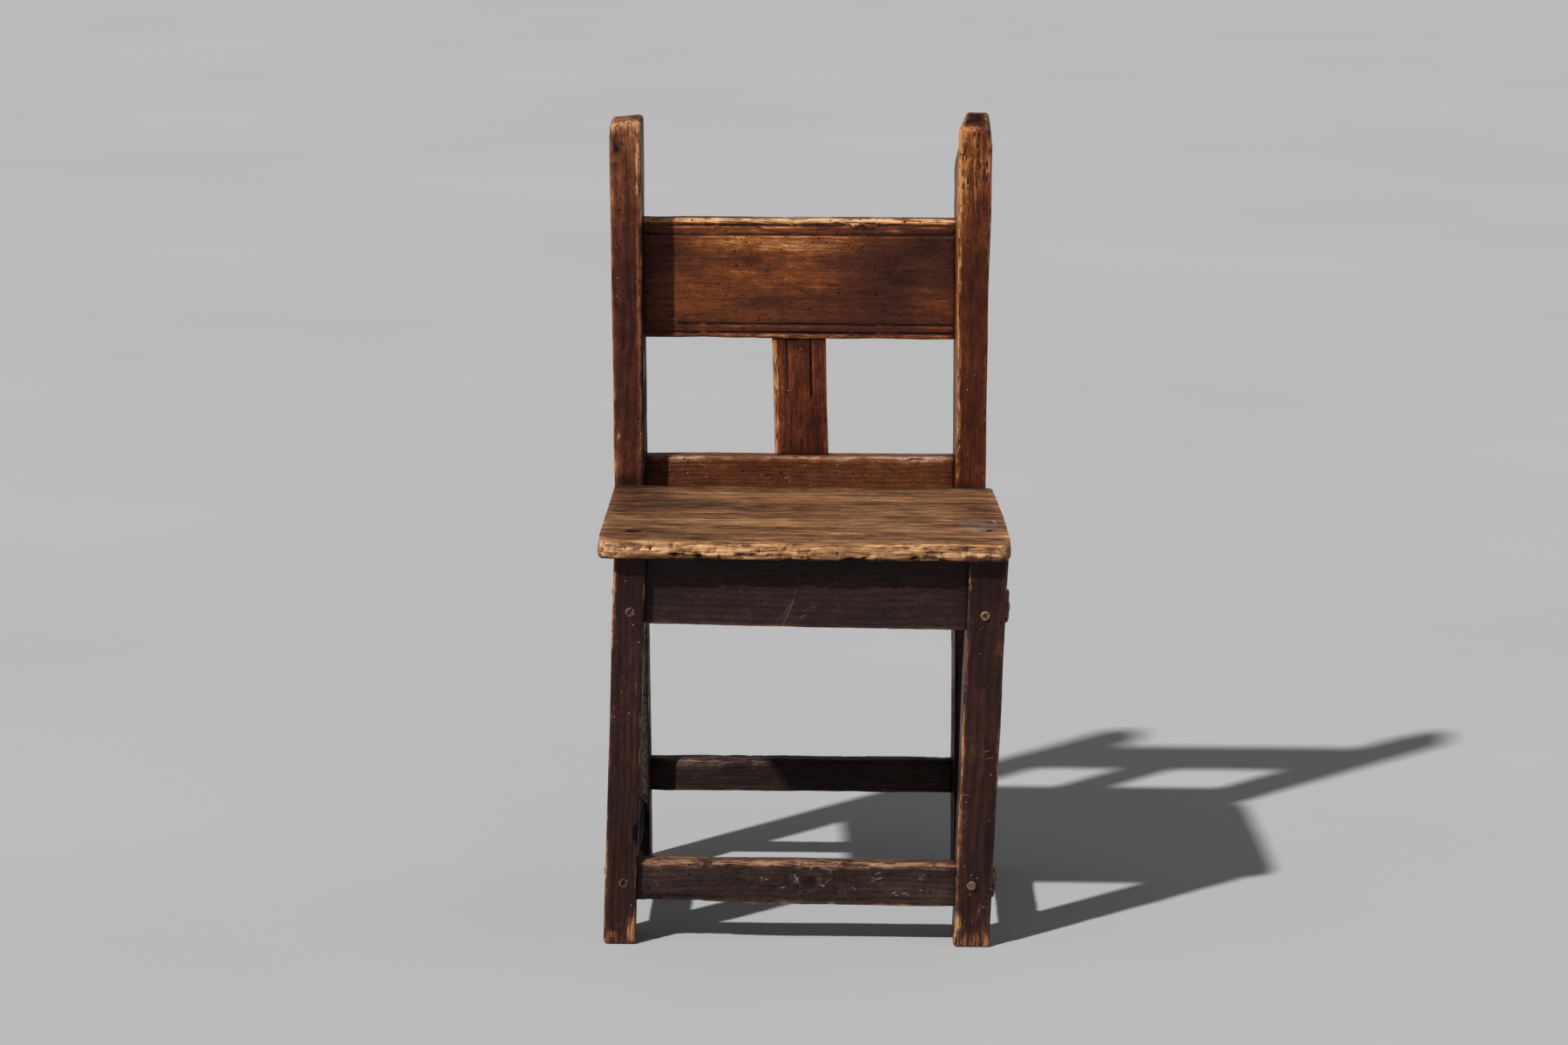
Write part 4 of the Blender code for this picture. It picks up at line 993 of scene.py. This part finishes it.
CREST_TONES = (
    (0.0260, 0.0080, 0.0055), (0.0780, 0.0210, 0.0090), (0.1800, 0.0490, 0.0130),
    (0.4000, 0.1480, 0.0460), (0.7800, 0.4500, 0.2200),
)
CREST_LOW = 0.4409
CREST_TOP = (0.5397, 0.5407)
CREST_SETBACK = 0.0325
CREST_THICK = 0.0135
low, high = back_rail_ends(CREST_SETBACK, CREST_THICK, (CREST_LOW, CREST_LOW), CREST_TOP)
crest = worn_stick(
    "crest_rail", low, high, seed=63.1, arris=(0.0018, 0.0016, 0.0022, 0.0026), rub=(0.90, 0.5, 0.9, 1.25),
    chips=((3, 0.181, 0.030, 0.0022), (3, 0.126, 0.008, 0.0014), (0, 0.05, 0.03, 0.0008),
           (0, 0.20, 0.02, 0.0010)),
    dents=((3, 0.184, 0.0080, 0.018, 0.0016, 0.0018), (3, 0.200, 0.0050, 0.006, 0.002, 0.0012),
           (3, 0.066, 0.028, 0.0010, 0.0024, 0.0010), (3, 0.160, 0.040, 0.02, 0.012, 0.0004)),
    lines=((3, 0.0058, 0.0014, 0.0, 0.3), (3, 0.0138, 0.0010, 0.0, 0.3), (3, 0.0872, 0.0009, 0.03, 0.3),
           (3, 0.0944, 0.0014, 0.0, 0.3)),
    joint_dirt=(0.6, 0.5), gap=0.0019,
    bare_and_highlight=((3, 0.118, 0.0220, 0.074, 0.0100, 0.36), (3, 0.085, 0.048, 0.040, 0.016, 0.22),
          (3, 0.140, 0.048, 0.032, 0.018, 0.20), (3, 0.095, 0.0100, 0.070, 0.0034, 0.34),
          (3, 0.125, 0.0022, 0.2, 0.0032, 1.02), (3, 0.060, 0.020, 0.022, 0.005, 0.26),
          (3, 0.175, 0.0040, 0.007, 0.002, 0.60), (3, 0.206, 0.0100, 0.009, 0.0012, 0.60),
          (3, 0.168, 0.020, 0.020, 0.005, 0.30), (3, 0.030, 0.055, 0.020, 0.020, 0.16),
          (3, 0.120, 0.0965, 0.120, 0.002, 0.30), (3, 0.232, 0.060, 0.014, 0.030, 0.12)),
    dark=((3, 0.118, 0.0215, 0.074, 0.0110, -0.54), (3, 0.088, 0.048, 0.042, 0.016, -0.04),
          (3, 0.140, 0.046, 0.034, 0.018, -0.14), (3, 0.205, 0.058, 0.040, 0.034, 0.52),
          (3, 0.232, 0.022, 0.016, 0.006, 0.36), (3, 0.082, 0.032, 0.020, 0.0036, 0.40),
          (3, 0.095, 0.070, 0.018, 0.0035, 0.45), (3, 0.020, 0.026, 0.020, 0.006, 0.30),
          (3, 0.033, 0.086, 0.005, 0.007, 0.50), (3, 0.186, 0.0085, 0.016, 0.0012, 0.9),
          (3, 0.115, 0.080, 0.075, 0.008, -0.24)),
    curl=((3, 0.142, 0.022, 0.018, 0.009, 1.1), (3, 0.165, 0.038, 0.014, 0.011, 0.8)),
)
crest_wood = old_wood(
    "crest_wood", CREST_TONES, pith=(0.01, 0.045), ring=0.0060, cloud=16.0, holes=0.60, gloss=0.36, relief=0.6,
    figure=0.02, contrast=0.80, mixing=(1.00, 0.24, 0.24, 0.45, 0.40), curl=True,
    start=crest["origin_of_grain"],
)
place_piece(crest, "crest_rail", crest_wood)


# Seat. One thin board with its grain across the chair, butted against the posts and nailed down.
# The top is dry and weathered; the front edge is rounded, eaten and rubbed to pale gold.

SEAT_Z = (0.3124, 0.3253)
SEAT_FRONT = -0.16190
SEAT_REAR = (0.1003, 0.1019)
SEAT_LEFT = -0.16105
SEAT_RIGHT = 0.16105
REAR_LEFT = -0.15355
REAR_RIGHT = 0.15505
NAIL_SPOTS = ((-0.13365, -0.11331), (0.14525, -0.09491))


def seat_side(y, right):
    """The seat's left or right edge at a depth: straight on the left, bowed on the right."""
    share = np.clip((y - SEAT_FRONT) / (SEAT_REAR[right] - SEAT_FRONT), 0.0, 1.0)
    if right:
        return SEAT_RIGHT + (REAR_RIGHT - SEAT_RIGHT) * share ** 2
    return SEAT_LEFT + (REAR_LEFT - SEAT_LEFT) * share


def seat_board():
    """Top and bottom grids inside an outline, joined by a worn edge that turns over all round."""
    inset = 0.0050
    round_left, round_right = 0.0040, 0.0080
    share_x = np.linspace(0.0, 1.0, 340)
    near = np.linspace(0.0, 1.0, 18)[:-1] ** 1.3 * 0.06
    share_y = np.concatenate([near, np.linspace(0.06, 1.0, 80)])
    rows, cols = len(share_y), len(share_x)

    # the outline at each depth, pulled in all round and rounded at the two front corners
    rear = SEAT_REAR[0] + (SEAT_REAR[1] - SEAT_REAR[0]) * share_x - inset
    y = SEAT_FRONT + inset + (rear[None, :] - SEAT_FRONT - inset) * share_y[:, None]
    edge_y = y.mean(1)
    behind = edge_y - SEAT_FRONT - inset

    def corner_curve(size):
        return size - np.sqrt(np.clip(size ** 2 - np.clip(size - behind, 0, None) ** 2, 0, None))

    left = seat_side(edge_y, 0) + inset + corner_curve(round_left)
    right = seat_side(edge_y, 1) - inset - corner_curve(round_right)
    x = left[:, None] + (right - left)[:, None] * share_x[None, :]
    index = np.arange(rows * cols).reshape(rows, cols)
    top_faces = np.stack([index[:-1, :-1], index[:-1, 1:], index[1:, 1:], index[1:, :-1]], -1).reshape(-1, 4)
    rim = np.concatenate([index[0, :-1], index[:-1, -1], index[-1, :0:-1], index[:0:-1, 0]])
    x, y = x.ravel(), y.ravel()
    rim_plan = np.stack([x[rim], y[rim]], -1)
    ahead = np.roll(rim_plan, -1, 0) - np.roll(rim_plan, 1, 0)
    out = np.stack([ahead[:, 1], -ahead[:, 0]], -1)
    out /= np.linalg.norm(out, axis=1)[:, None]
    for _ in range(4):
        out = (out + np.roll(out, 1, 0) + np.roll(out, -1, 0)) / 3
    out /= np.linalg.norm(out, axis=1)[:, None]
    nose = soft_step(-y[rim], -SEAT_FRONT - 0.030, -SEAT_FRONT - 0.004)
    thick = SEAT_Z[1] - SEAT_Z[0]

    # edge profile from the top grid's rim, over the nose and back under
    turns = 15
    loops = []
    for j in range(1, turns):
        a = np.pi * j / turns
        bend = 0.70 if np.cos(a) > 0 else 0.45
        over = inset * np.sin(a) ** bend
        z_nose = SEAT_Z[0] + thick * (0.5 + 0.5 * np.sign(np.cos(a)) * abs(np.cos(a)) ** (bend + 0.10))
        square_out = inset * min(1.0, 3.2 * np.sin(a)) ** 0.6
        z_square = SEAT_Z[0] + thick * np.clip(0.5 + 0.62 * np.cos(a), 0.0, 1.0)
        outward = over * nose + square_out * (1 - nose)
        z = z_nose * nose + z_square * (1 - nose)
        loops.append(np.column_stack([rim_plan + out * outward[:, None], z]))
    under, top = (np.column_stack([x, y, np.full(len(x), level)]) for level in SEAT_Z)
    points = np.concatenate([top, *loops, under])
    n = len(rim)
    base = len(x)
    last = base + len(loops) * n
    rings = [rim] + [base + j * n + np.arange(n) for j in range(len(loops))] + [last + rim]
    faces = top_faces.tolist()
    for upper, lower in zip(rings[:-1], rings[1:]):
        faces += np.stack([np.roll(upper, -1), upper, lower, np.roll(lower, -1)], -1).tolist()
    faces += (last + top_faces[:, ::-1]).tolist()

    # wear: the sitting hollow, weathered ridges, and a front edge eaten along the grain
    px, py, pz = points.T.copy()
    high = soft_step(pz, SEAT_Z[0] + 0.4 * thick, SEAT_Z[1])
    near_front = np.exp(-np.clip(py - SEAT_FRONT, 0, None) / 0.0085)
    near_side = np.exp(-np.minimum(px - seat_side(py, 0), seat_side(py, 1) - px) / 0.006)
    near_rear = np.exp(-np.clip(SEAT_REAR[0] - py, 0, None) / 0.012)
    near_side = near_side * (1 - 0.7 * near_rear)
    sunk = 0.0004 * high * (1 + drift(np.column_stack([px * 0.4, py]), 0.05, 71.0))
    sunk += 0.00022 * high * (1 + ragged(np.column_stack([px * 0.06, py]), 0.0075, 72.0, 3))
    spots = np.column_stack([px * 0.36, py, pz])
    eaten = ragged(spots, 0.0036, 73.0, 3)
    patchy = 0.55 + 0.45 * soft_step(drift(np.column_stack([px]), 0.045, 77.0), -0.3, 0.5)
    pits = soft_step(eaten, 0.22, 0.70) * patchy
    back = 0.0006 * (1 + drift(np.column_stack([px, pz]), 0.03, 74.0)) + 0.0032 * pits + 0.0006 * (eaten + 1)
    bitten = soft_step(ragged(np.column_stack([px, 0.5 * pz]), 0.011, 80.0, 3), 0.30, 0.75)
    back += 0.0016 * bitten * soft_step(-pz, -SEAT_Z[0] - 0.75 * thick, -SEAT_Z[0] - 0.10 * thick)
    points[:, 1] += back * near_front
    points[:, 2] += np.where(pz > SEAT_Z[0] + 0.5 * thick, -1, 0.6) * (0.0006 + 0.0016 * pits) * near_front
    points[:, 0] += np.where(px > 0, -1, 1) * near_side * (0.0004 + 0.0010 * pits) * (1 - near_front)
    points[:, 2] -= sunk
    low_nose = near_front * soft_step(-pz, -SEAT_Z[0] - 0.55 * thick, -SEAT_Z[0] - 0.15 * thick)
    points[:, 2] -= 0.0019 * soft_step(-py, -SEAT_FRONT - 0.0105, -SEAT_FRONT - 0.0040) * (1 - high)
    wear_and_highlight = 0.78 * near_front * (0.80 + 0.34 * ragged(spots, 0.012, 75.0)) + 0.40 * near_side * high
    wear_and_highlight += 0.14 * high * swell(py, -0.04, 0.05)
    wear_and_highlight += 0.10 * high * soft_step(py, 0.02, -0.12) * (1 + 0.5 * drift(np.column_stack([px, py]), 0.04, 78.0))
    wear_and_highlight *= soft_step(pz, SEAT_Z[0] - 0.004, SEAT_Z[0] + 0.5 * thick)
    dirt_and_shade = 1.30 * pits * near_front * soft_step(ragged(spots, 0.02, 76.0, 2), -0.35, 0.25)
    # the lower half of the front edge is darker, more so where it is bitten back
    dirt_and_shade += 0.50 * low_nose * (1 + 0.6 * ragged(spots, 0.007, 79.0)) + 0.40 * bitten * low_nose
    dirt_and_shade += 0.20 * soft_step(py, 0.02, 0.09) * high
    dirt_and_shade += 0.44 * swell(px, 0.150, 0.026) * swell(py, -0.03, 0.09) * high
    dirt_and_shade += 0.46 * swell(px, -0.145, 0.036) * swell(py, 0.03, 0.09) * high
    dirt_and_shade += 0.45 * near_rear * high
    # the underside and the lowest 2 mm of the edge are painted darker: painted shade
    dirt_and_shade += 0.5 * soft_step(-pz, -SEAT_Z[0] - 0.002, -SEAT_Z[0])
    for nail_x, nail_y in NAIL_SPOTS:
        from_nail = np.hypot(px - nail_x, py - nail_y)
        points[:, 2] -= 0.0012 * high * soft_step(-from_nail, -0.0056, -0.0030)
        dirt_and_shade += 1.3 * high * soft_step(-from_nail, -0.0085, -0.0040)
    marks = {"grain": np.column_stack([py, pz, px]), "wear_and_highlight": wear_and_highlight, "dirt_and_shade": dirt_and_shade, "end": np.zeros(len(points))}
    return finish_mesh("seat_board", points, faces, marks)


SEAT_TONES = (
    (0.0570, 0.0212, 0.0090), (0.1880, 0.0790, 0.0335), (0.3520, 0.1680, 0.0770),
    (0.4000, 0.1950, 0.0800), (0.7200, 0.4100, 0.1950),
)
CHALK = (0.55, 0.50, 0.46)
HAZE = (0.27, 0.21, 0.19)
SEAT_MARKS = (          # from y, x to y, x, half width, tint, strength
    ((-0.1180, 0.0235), (-0.1180, 0.0258), 0.0030, CHALK, 0.95),
    ((-0.1180, 0.0345), (-0.1180, 0.0390), 0.0030, CHALK, 0.95),
    ((-0.0900, 0.1240), (-0.0930, 0.1500), 0.0026, CHALK, 0.40),
    ((-0.0700, 0.1400), (-0.0720, 0.1520), 0.0026, CHALK, 0.35),
    ((-0.1040, 0.1210), (-0.1060, 0.1340), 0.0026, CHALK, 0.35),
    ((-0.0500, 0.1500), (-0.0600, 0.1520), 0.0022, CHALK, 0.6),
    ((0.0880, 0.1180), (0.0890, 0.1380), 0.0026, CHALK, 0.3),
    ((-0.0450, 0.1300), (-0.0950, 0.1400), 0.0160, HAZE, 0.34),
    ((-0.1230, 0.0500), (-0.1250, 0.0540), 0.0036, BLACK, 0.75),
)
seat = seat_board()
seat_wood = old_wood(
    "seat_wood", SEAT_TONES, pith=(0.02, 0.30), ring=0.0110, cloud=17.0, coarse=165.0, holes=0.35, specks=0.66,
    gloss=0.50, relief=1.0, figure=0.05, contrast=1.35, mixing=(0.66, 0.86, 0.70, 0.60, 0.86),
    fleck=(235.0, 0.30),
    grit=(380.0, 0.11), pore=380.0, cracks=0.80,
    strokes=[((y0, SEAT_Z[1], x0), (y1, SEAT_Z[1], x1), *look) for (y0, x0), (y1, x1), *look in SEAT_MARKS],
)
place_piece(seat, "seat_board", seat_wood)


# Through tenons. The tenons of the front rail and front stretcher come out through the right
# leg, sawn off a little proud of it, and show dark end grain.

TENON_THICK = 0.008
TENON_HELD = 0.004     # length dressed inside the leg
TENON_PROUD = 0.0019
right_leg_outer = leg_face(RIGHT_LEG_X[1])
TENONS = {              # front face, lower and upper edge, tones
    "front_seat_rail_tenon": (RAIL_FACE + 0.005, (0.2582, 0.2837), RAIL_TONES),
    "front_stretcher_tenon": (STRETCHER_FACE + 0.004, (0.0384, 0.0623), STRETCHER_TONES),
}
for i, (name, (face, (bottom, top), tones)) in enumerate(TENONS.items()):
    ends = []
    for reach in (-TENON_HELD, TENON_PROUD):
        corners = ((0.0, bottom), (TENON_THICK, bottom), (TENON_THICK, top), (0.0, top))
        ends.append([(right_leg_outer(z) + reach, face + y, z) for y, z in corners])
    tenon = worn_stick(
        name, *ends, seed=81.7 + 4.1 * i, arris=0.0010, ends=(0.0, 0.0011), rub=0.7, rub_ends=(0.0, 0.55),
        gap=0.0012, step=0.0008, wave=0.0002,
    )
    tenon.data.materials.append(old_wood(name + "_wood", tones, pith=(0.02, 0.03), relief=0.9))
    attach(tenon, "root")


# Pegs. Riven wooden pins driven through the joints from the front and from the sides; the heads
# were cut off and have crept proud, some split, some ringed with old wax.

PEG_TONES = (
    (0.0350, 0.0180, 0.0110), (0.0900, 0.0480, 0.0290), (0.1700, 0.0950, 0.0570),
    (0.2100, 0.1200, 0.0720), (0.4200, 0.2600, 0.1600),
)
DARK_PEG_TONES = (
    (0.0130, 0.0070, 0.0055), (0.0330, 0.0170, 0.0130), (0.0650, 0.0340, 0.0250),
    (0.1200, 0.0640, 0.0420), (0.2600, 0.1500, 0.0950),
)
SIDE_PEG_TONES = (
    (0.0200, 0.0105, 0.0075), (0.0500, 0.0260, 0.0180), (0.1000, 0.0530, 0.0350),
    (0.1600, 0.0880, 0.0550), (0.3200, 0.1900, 0.1200),
)


def pin_rings(profile, outline, turn, tips):
    """Rings of a pin, one for each (depth, radius), and a middle point at each tip."""
    rings = []
    for depth, radius in profile:
        girth = radius * outline
        rings.append(np.column_stack([girth * np.cos(turn), girth * np.sin(turn), np.full(len(turn), depth)]))
    return np.concatenate(rings + [np.array([[0, 0, tip] for tip in tips])])


def pin_faces(count, sides):
    """Quads between the rings of a pin and a fan over each tip."""
    faces = []
    for r in range(count - 1):
        for i in range(sides):
            k = (i + 1) % sides
            faces.append([r * sides + i, r * sides + k, (r + 1) * sides + k, (r + 1) * sides + i])
    last = (count - 1) * sides
    faces += [[count * sides, (i + 1) % sides, i] for i in range(sides)]
    faces += [[count * sides + 1, last + i, last + (i + 1) % sides] for i in range(sides)]
    return faces


def peg(name, face, axis, radius, proud, split, seed, tones, square=0.0, dish=0.0):
    """Faceted pin with a rough head; split is the depth of the crack across it, dish of the hollow in it."""
    sides = 40
    depth = 0.012
    turn = np.linspace(0, 2 * np.pi, sides, endpoint=False)
    facets = 1 + 0.045 * ragged(np.column_stack([np.cos(turn), np.sin(turn)]), 0.6, seed, 2)
    facets *= 1 - square * 0.10 * np.cos(4 * turn + 0.6)
    profile = [(depth, 0.80), (0.004, 1.0), (0.0, 1.0), (-0.45 * proud, 1.0), (-0.8 * proud, 0.95),
               (-proud, 0.82)]
    profile += [(-proud * 1.04, share) for share in (0.66, 0.5, 0.34, 0.18)]
    profile = [(inward, radius * share) for inward, share in profile]
    spots = pin_rings(profile, facets, turn, (depth, -proud * 1.04))
    head = soft_step(-spots[:, 2], -0.0001, proud * 0.7)
    spots[:, 2] += head * 0.00022 * ragged(spots[:, :2], 0.0016, seed + 2, 2)
    crack = np.exp(-((spots[:, 0] * 0.8 + spots[:, 1] * 0.6) / 0.00055) ** 2) * head
    spots[:, 2] += split * crack
    hollow = np.exp(-(np.hypot(spots[:, 0], spots[:, 1]) / (0.55 * radius)) ** 4) * head
    spots[:, 2] += dish * hollow
    rim = np.exp(-((np.hypot(spots[:, 0], spots[:, 1]) - radius * 0.88) / (radius * 0.14)) ** 2)
    grain = spots + np.array([seed, seed * 0.7, seed * 0.3])
    wear_and_highlight = 0.45 * head + 0.5 * rim * head
    dirt_and_shade = 0.9 * crack * (split > 0) + 0.9 * soft_step(spots[:, 2], -0.0001, 0.0005)
    dirt_and_shade += 0.85 * hollow * (dish > 0)
    placed = spots @ np.array(axis) + np.array(face)
    marks = {"grain": grain, "wear_and_highlight": wear_and_highlight, "dirt_and_shade": dirt_and_shade, "end": 0.4 * head}
    made = finish_mesh(name, placed, pin_faces(len(profile), sides), marks)
    wood = old_wood(name + "_wood", tones, pith=(0.0, 0.001), ring=0.0011, coarse=900.0, relief=0.7, holes=0.1)
    place_piece(made, name, wood)


FRONT_PEG_RADIUS = 0.0037
SIDE_PEG_RADIUS = 0.0030
SIDE_PEG_PROUD = 0.0009
SIDE_PEG_SPLIT = 0.0003
SIDE_TENONS = {         # rise from the lower edge of the rail, height
    "seat_rail": (0.0070, 0.0280),
    "stretcher": (0.0040, 0.0180),
}
PEG_INSET = 0.00775    # middle of a side peg from the shoulder that it holds
INTO_FRONT = ((1, 0, 0), (0, 0, -1), (0, 1, 0))
FRONT_PEGS = {          # x, z, proud, split, tones, squareness, dish
    "front_rail_peg_left": (-0.13515, 0.2666, 0.0006, 0.0010, DARK_PEG_TONES, 0.7, 0.0),
    "front_rail_peg_right": (0.14165, 0.2661, 0.0012, 0.0, PEG_TONES, 0.2, 0.0008),
    "front_stretcher_peg_left": (-0.13925, 0.0498, 0.0005, 0.0004, DARK_PEG_TONES, 0.5, 0.0003),
    "front_stretcher_peg_right": (0.13405, 0.0503, 0.0021, 0.0, PEG_TONES, 0.3, 0.0),
}
for i, (name, (x, z, proud, split, tones, square, dish)) in enumerate(FRONT_PEGS.items()):
    spot = (x, LEG_FRONT, z)
    peg(name, spot, INTO_FRONT, FRONT_PEG_RADIUS, proud, split, 91.1 + 1.7 * i, tones, square, dish)

for i, side in enumerate(("left", "right")):
    inward = 1 if side == "left" else -1
    axis = ((0, 1, 0), (0, 0, inward), (inward, 0, 0))
    outer_leg = leg_face(LEFT_LEG_X[0] if side == "left" else RIGHT_LEG_X[1])
    lows = {"seat_rail": SIDE_RAIL_LOW, "stretcher": SIDE_STRETCHER_LOW[side]}
    for level, (rise, tall) in SIDE_TENONS.items():
        z = lows[level] + rise + tall / 2
        outer_post = left_post_x(z)[0] if side == "left" else right_post_x(z)[1]
        spots = {
            "front": (outer_leg(z), LEG_FRONT + LEG_DEPTH - PEG_INSET, z),
            "rear": (outer_post, post_front(z) + PEG_INSET, z),
        }
        for place, spot in spots.items():
            seed = 101.3 + 5.1 * i + (2.3 if level == "stretcher" else 0) + (0.9 if place == "rear" else 0)
            name = f"side_{level}_peg_{side}_{place}"
            peg(name, spot, axis, SIDE_PEG_RADIUS, SIDE_PEG_PROUD, SIDE_PEG_SPLIT, seed, SIDE_PEG_TONES, 0.6)


# Seat nails. Two hand-forged iron nails hold the board; their heads are sunk below the worn top
# and black with rust.

RUST = ((0.30, (0.010, 0.008, 0.007)), (0.55, (0.024, 0.015, 0.010)), (0.75, (0.075, 0.030, 0.012)))
NAIL_SUNK = 0.0009
NAIL_PROFILE = (        # height, radius
    (-0.012, 0.0010), (-0.0016, 0.0014), (-0.0014, 0.0030), (-0.0004, 0.0031), (0.0, 0.0024), (0.0001, 0.0012),
)


def rusty_iron():
    f = Finish("nail_iron")
    place = f.node("ShaderNodeTexCoord", {}, "Object")
    scale = f.noise(place, 900.0, 4.0, 0.6)
    pits = f.noise(place, 2600.0, 2.0, 0.5)
    colour = f.ramp(scale, RUST)
    f.join(f.shader.inputs["Base Color"], colour)
    f.join(f.shader.inputs["Roughness"], f.between(scale, 0.3, 0.7, (0.45, 0.85)))
    f.shader.inputs["Metallic"].default_value = 0.6
    height = f.sums("MULTIPLY_ADD", pits, 0.5, scale)
    bump = f.node("ShaderNodeBump", {"Strength": 0.7, "Distance": 0.0005, "Height": height})
    f.join(f.shader.inputs["Normal"], bump)
    return f.material


iron = rusty_iron()
for i, name in enumerate(("seat_nail_left", "seat_nail_right")):
    sides = 28
    turn = np.linspace(0, 2 * np.pi, sides, endpoint=False)
    hammered = 1 + 0.10 * ragged(np.column_stack([np.cos(turn), np.sin(turn)]), 0.7, 121.0 + i, 2)
    spots = pin_rings(NAIL_PROFILE, hammered, turn, (-0.012, -0.0001))
    spots[:, 2] += 0.0002 * ragged(spots[:, :2], 0.0014, 123.0 + i, 2) * (spots[:, 2] > -0.001)
    x, y = NAIL_SPOTS[i]
    spots += np.array([x, y, SEAT_Z[1] - NAIL_SUNK])
    nail = finish_mesh(name, spots, pin_faces(len(NAIL_PROFILE), sides), {})
    place_piece(nail, name, iron)


# Stage. A plain pale floor, one main lamp from the front left and even light all round. The
# camera stands almost straight in front, higher than the chair, and looks a little down.

REACH = 40
floor_mesh = bpy.data.meshes.new("floor")
corners = [(-REACH, -REACH, 0), (REACH, -REACH, 0), (REACH, REACH, 0), (-REACH, REACH, 0)]
floor_mesh.from_pydata(corners, [], [(0, 1, 2, 3)])
floor = bpy.data.objects.new("floor", floor_mesh)
bpy.context.scene.collection.objects.link(floor)
pale = Finish("pale_floor")
cloudy = pale.noise(pale.node("ShaderNodeTexCoord", {}, "Object"), 1.4, 4.0, 0.5)
greys = ((0.3, (0.515, 0.515, 0.515)), (0.7, (0.535, 0.535, 0.535)))
pale.join(pale.shader.inputs["Base Color"], pale.ramp(cloudy, greys))
pale.shader.inputs["Roughness"].default_value = 0.9
pale.shader.inputs["Specular IOR Level"].default_value = 0.1
floor.data.materials.append(pale.material)

world = bpy.data.worlds.new("even_light")
bpy.context.scene.world = world
world.use_nodes = True
world.node_tree.nodes["Background"].inputs["Color"].default_value = (1.0, 1.0, 1.0, 1.0)
world.node_tree.nodes["Background"].inputs["Strength"].default_value = 0.18

SUN_RAYS = Vector((2.0, 2.3, -2.75))
lamp_data = bpy.data.lights.new("key_lamp", "SUN")
lamp_data.angle = 0.035
lamp_data.energy = 3.6
lamp = bpy.data.objects.new("key_lamp", lamp_data)
lamp.location = (-2.0, -2.3, 2.8)
lamp.rotation_euler = SUN_RAYS.to_track_quat("-Z", "Y").to_euler()
bpy.context.scene.collection.objects.link(lamp)

PAN, PITCH, ROLL = 0.0049378, 0.1758912, 0.0100065
EYE = (-0.03821, -4.65593, 1.14000)
SENSOR = 36.0
FOCAL_PIXELS, PICTURE_PIXELS = 6768.847, 1800
forward = Vector((np.sin(PAN) * np.cos(PITCH), np.cos(PAN) * np.cos(PITCH), -np.sin(PITCH)))
right = Vector((np.cos(PAN), -np.sin(PAN), 0.0))
up = right.cross(forward)
tilted_right = right * np.cos(ROLL) + up * np.sin(ROLL)
tilted_up = -right * np.sin(ROLL) + up * np.cos(ROLL)
camera_data = bpy.data.cameras.new("camera")
camera_data.sensor_fit = "HORIZONTAL"
camera_data.sensor_width = SENSOR
camera_data.lens = FOCAL_PIXELS / PICTURE_PIXELS * SENSOR
camera_data.clip_end = 200.0
camera = bpy.data.objects.new("camera", camera_data)
camera.matrix_world = Matrix((
    (tilted_right.x, tilted_up.x, -forward.x, EYE[0]),
    (tilted_right.y, tilted_up.y, -forward.y, EYE[1]),
    (tilted_right.z, tilted_up.z, -forward.z, EYE[2]),
    (0.0, 0.0, 0.0, 1.0),
))
bpy.context.scene.collection.objects.link(camera)
bpy.context.scene.camera = camera
bpy.context.scene.view_settings.view_transform = "Standard"
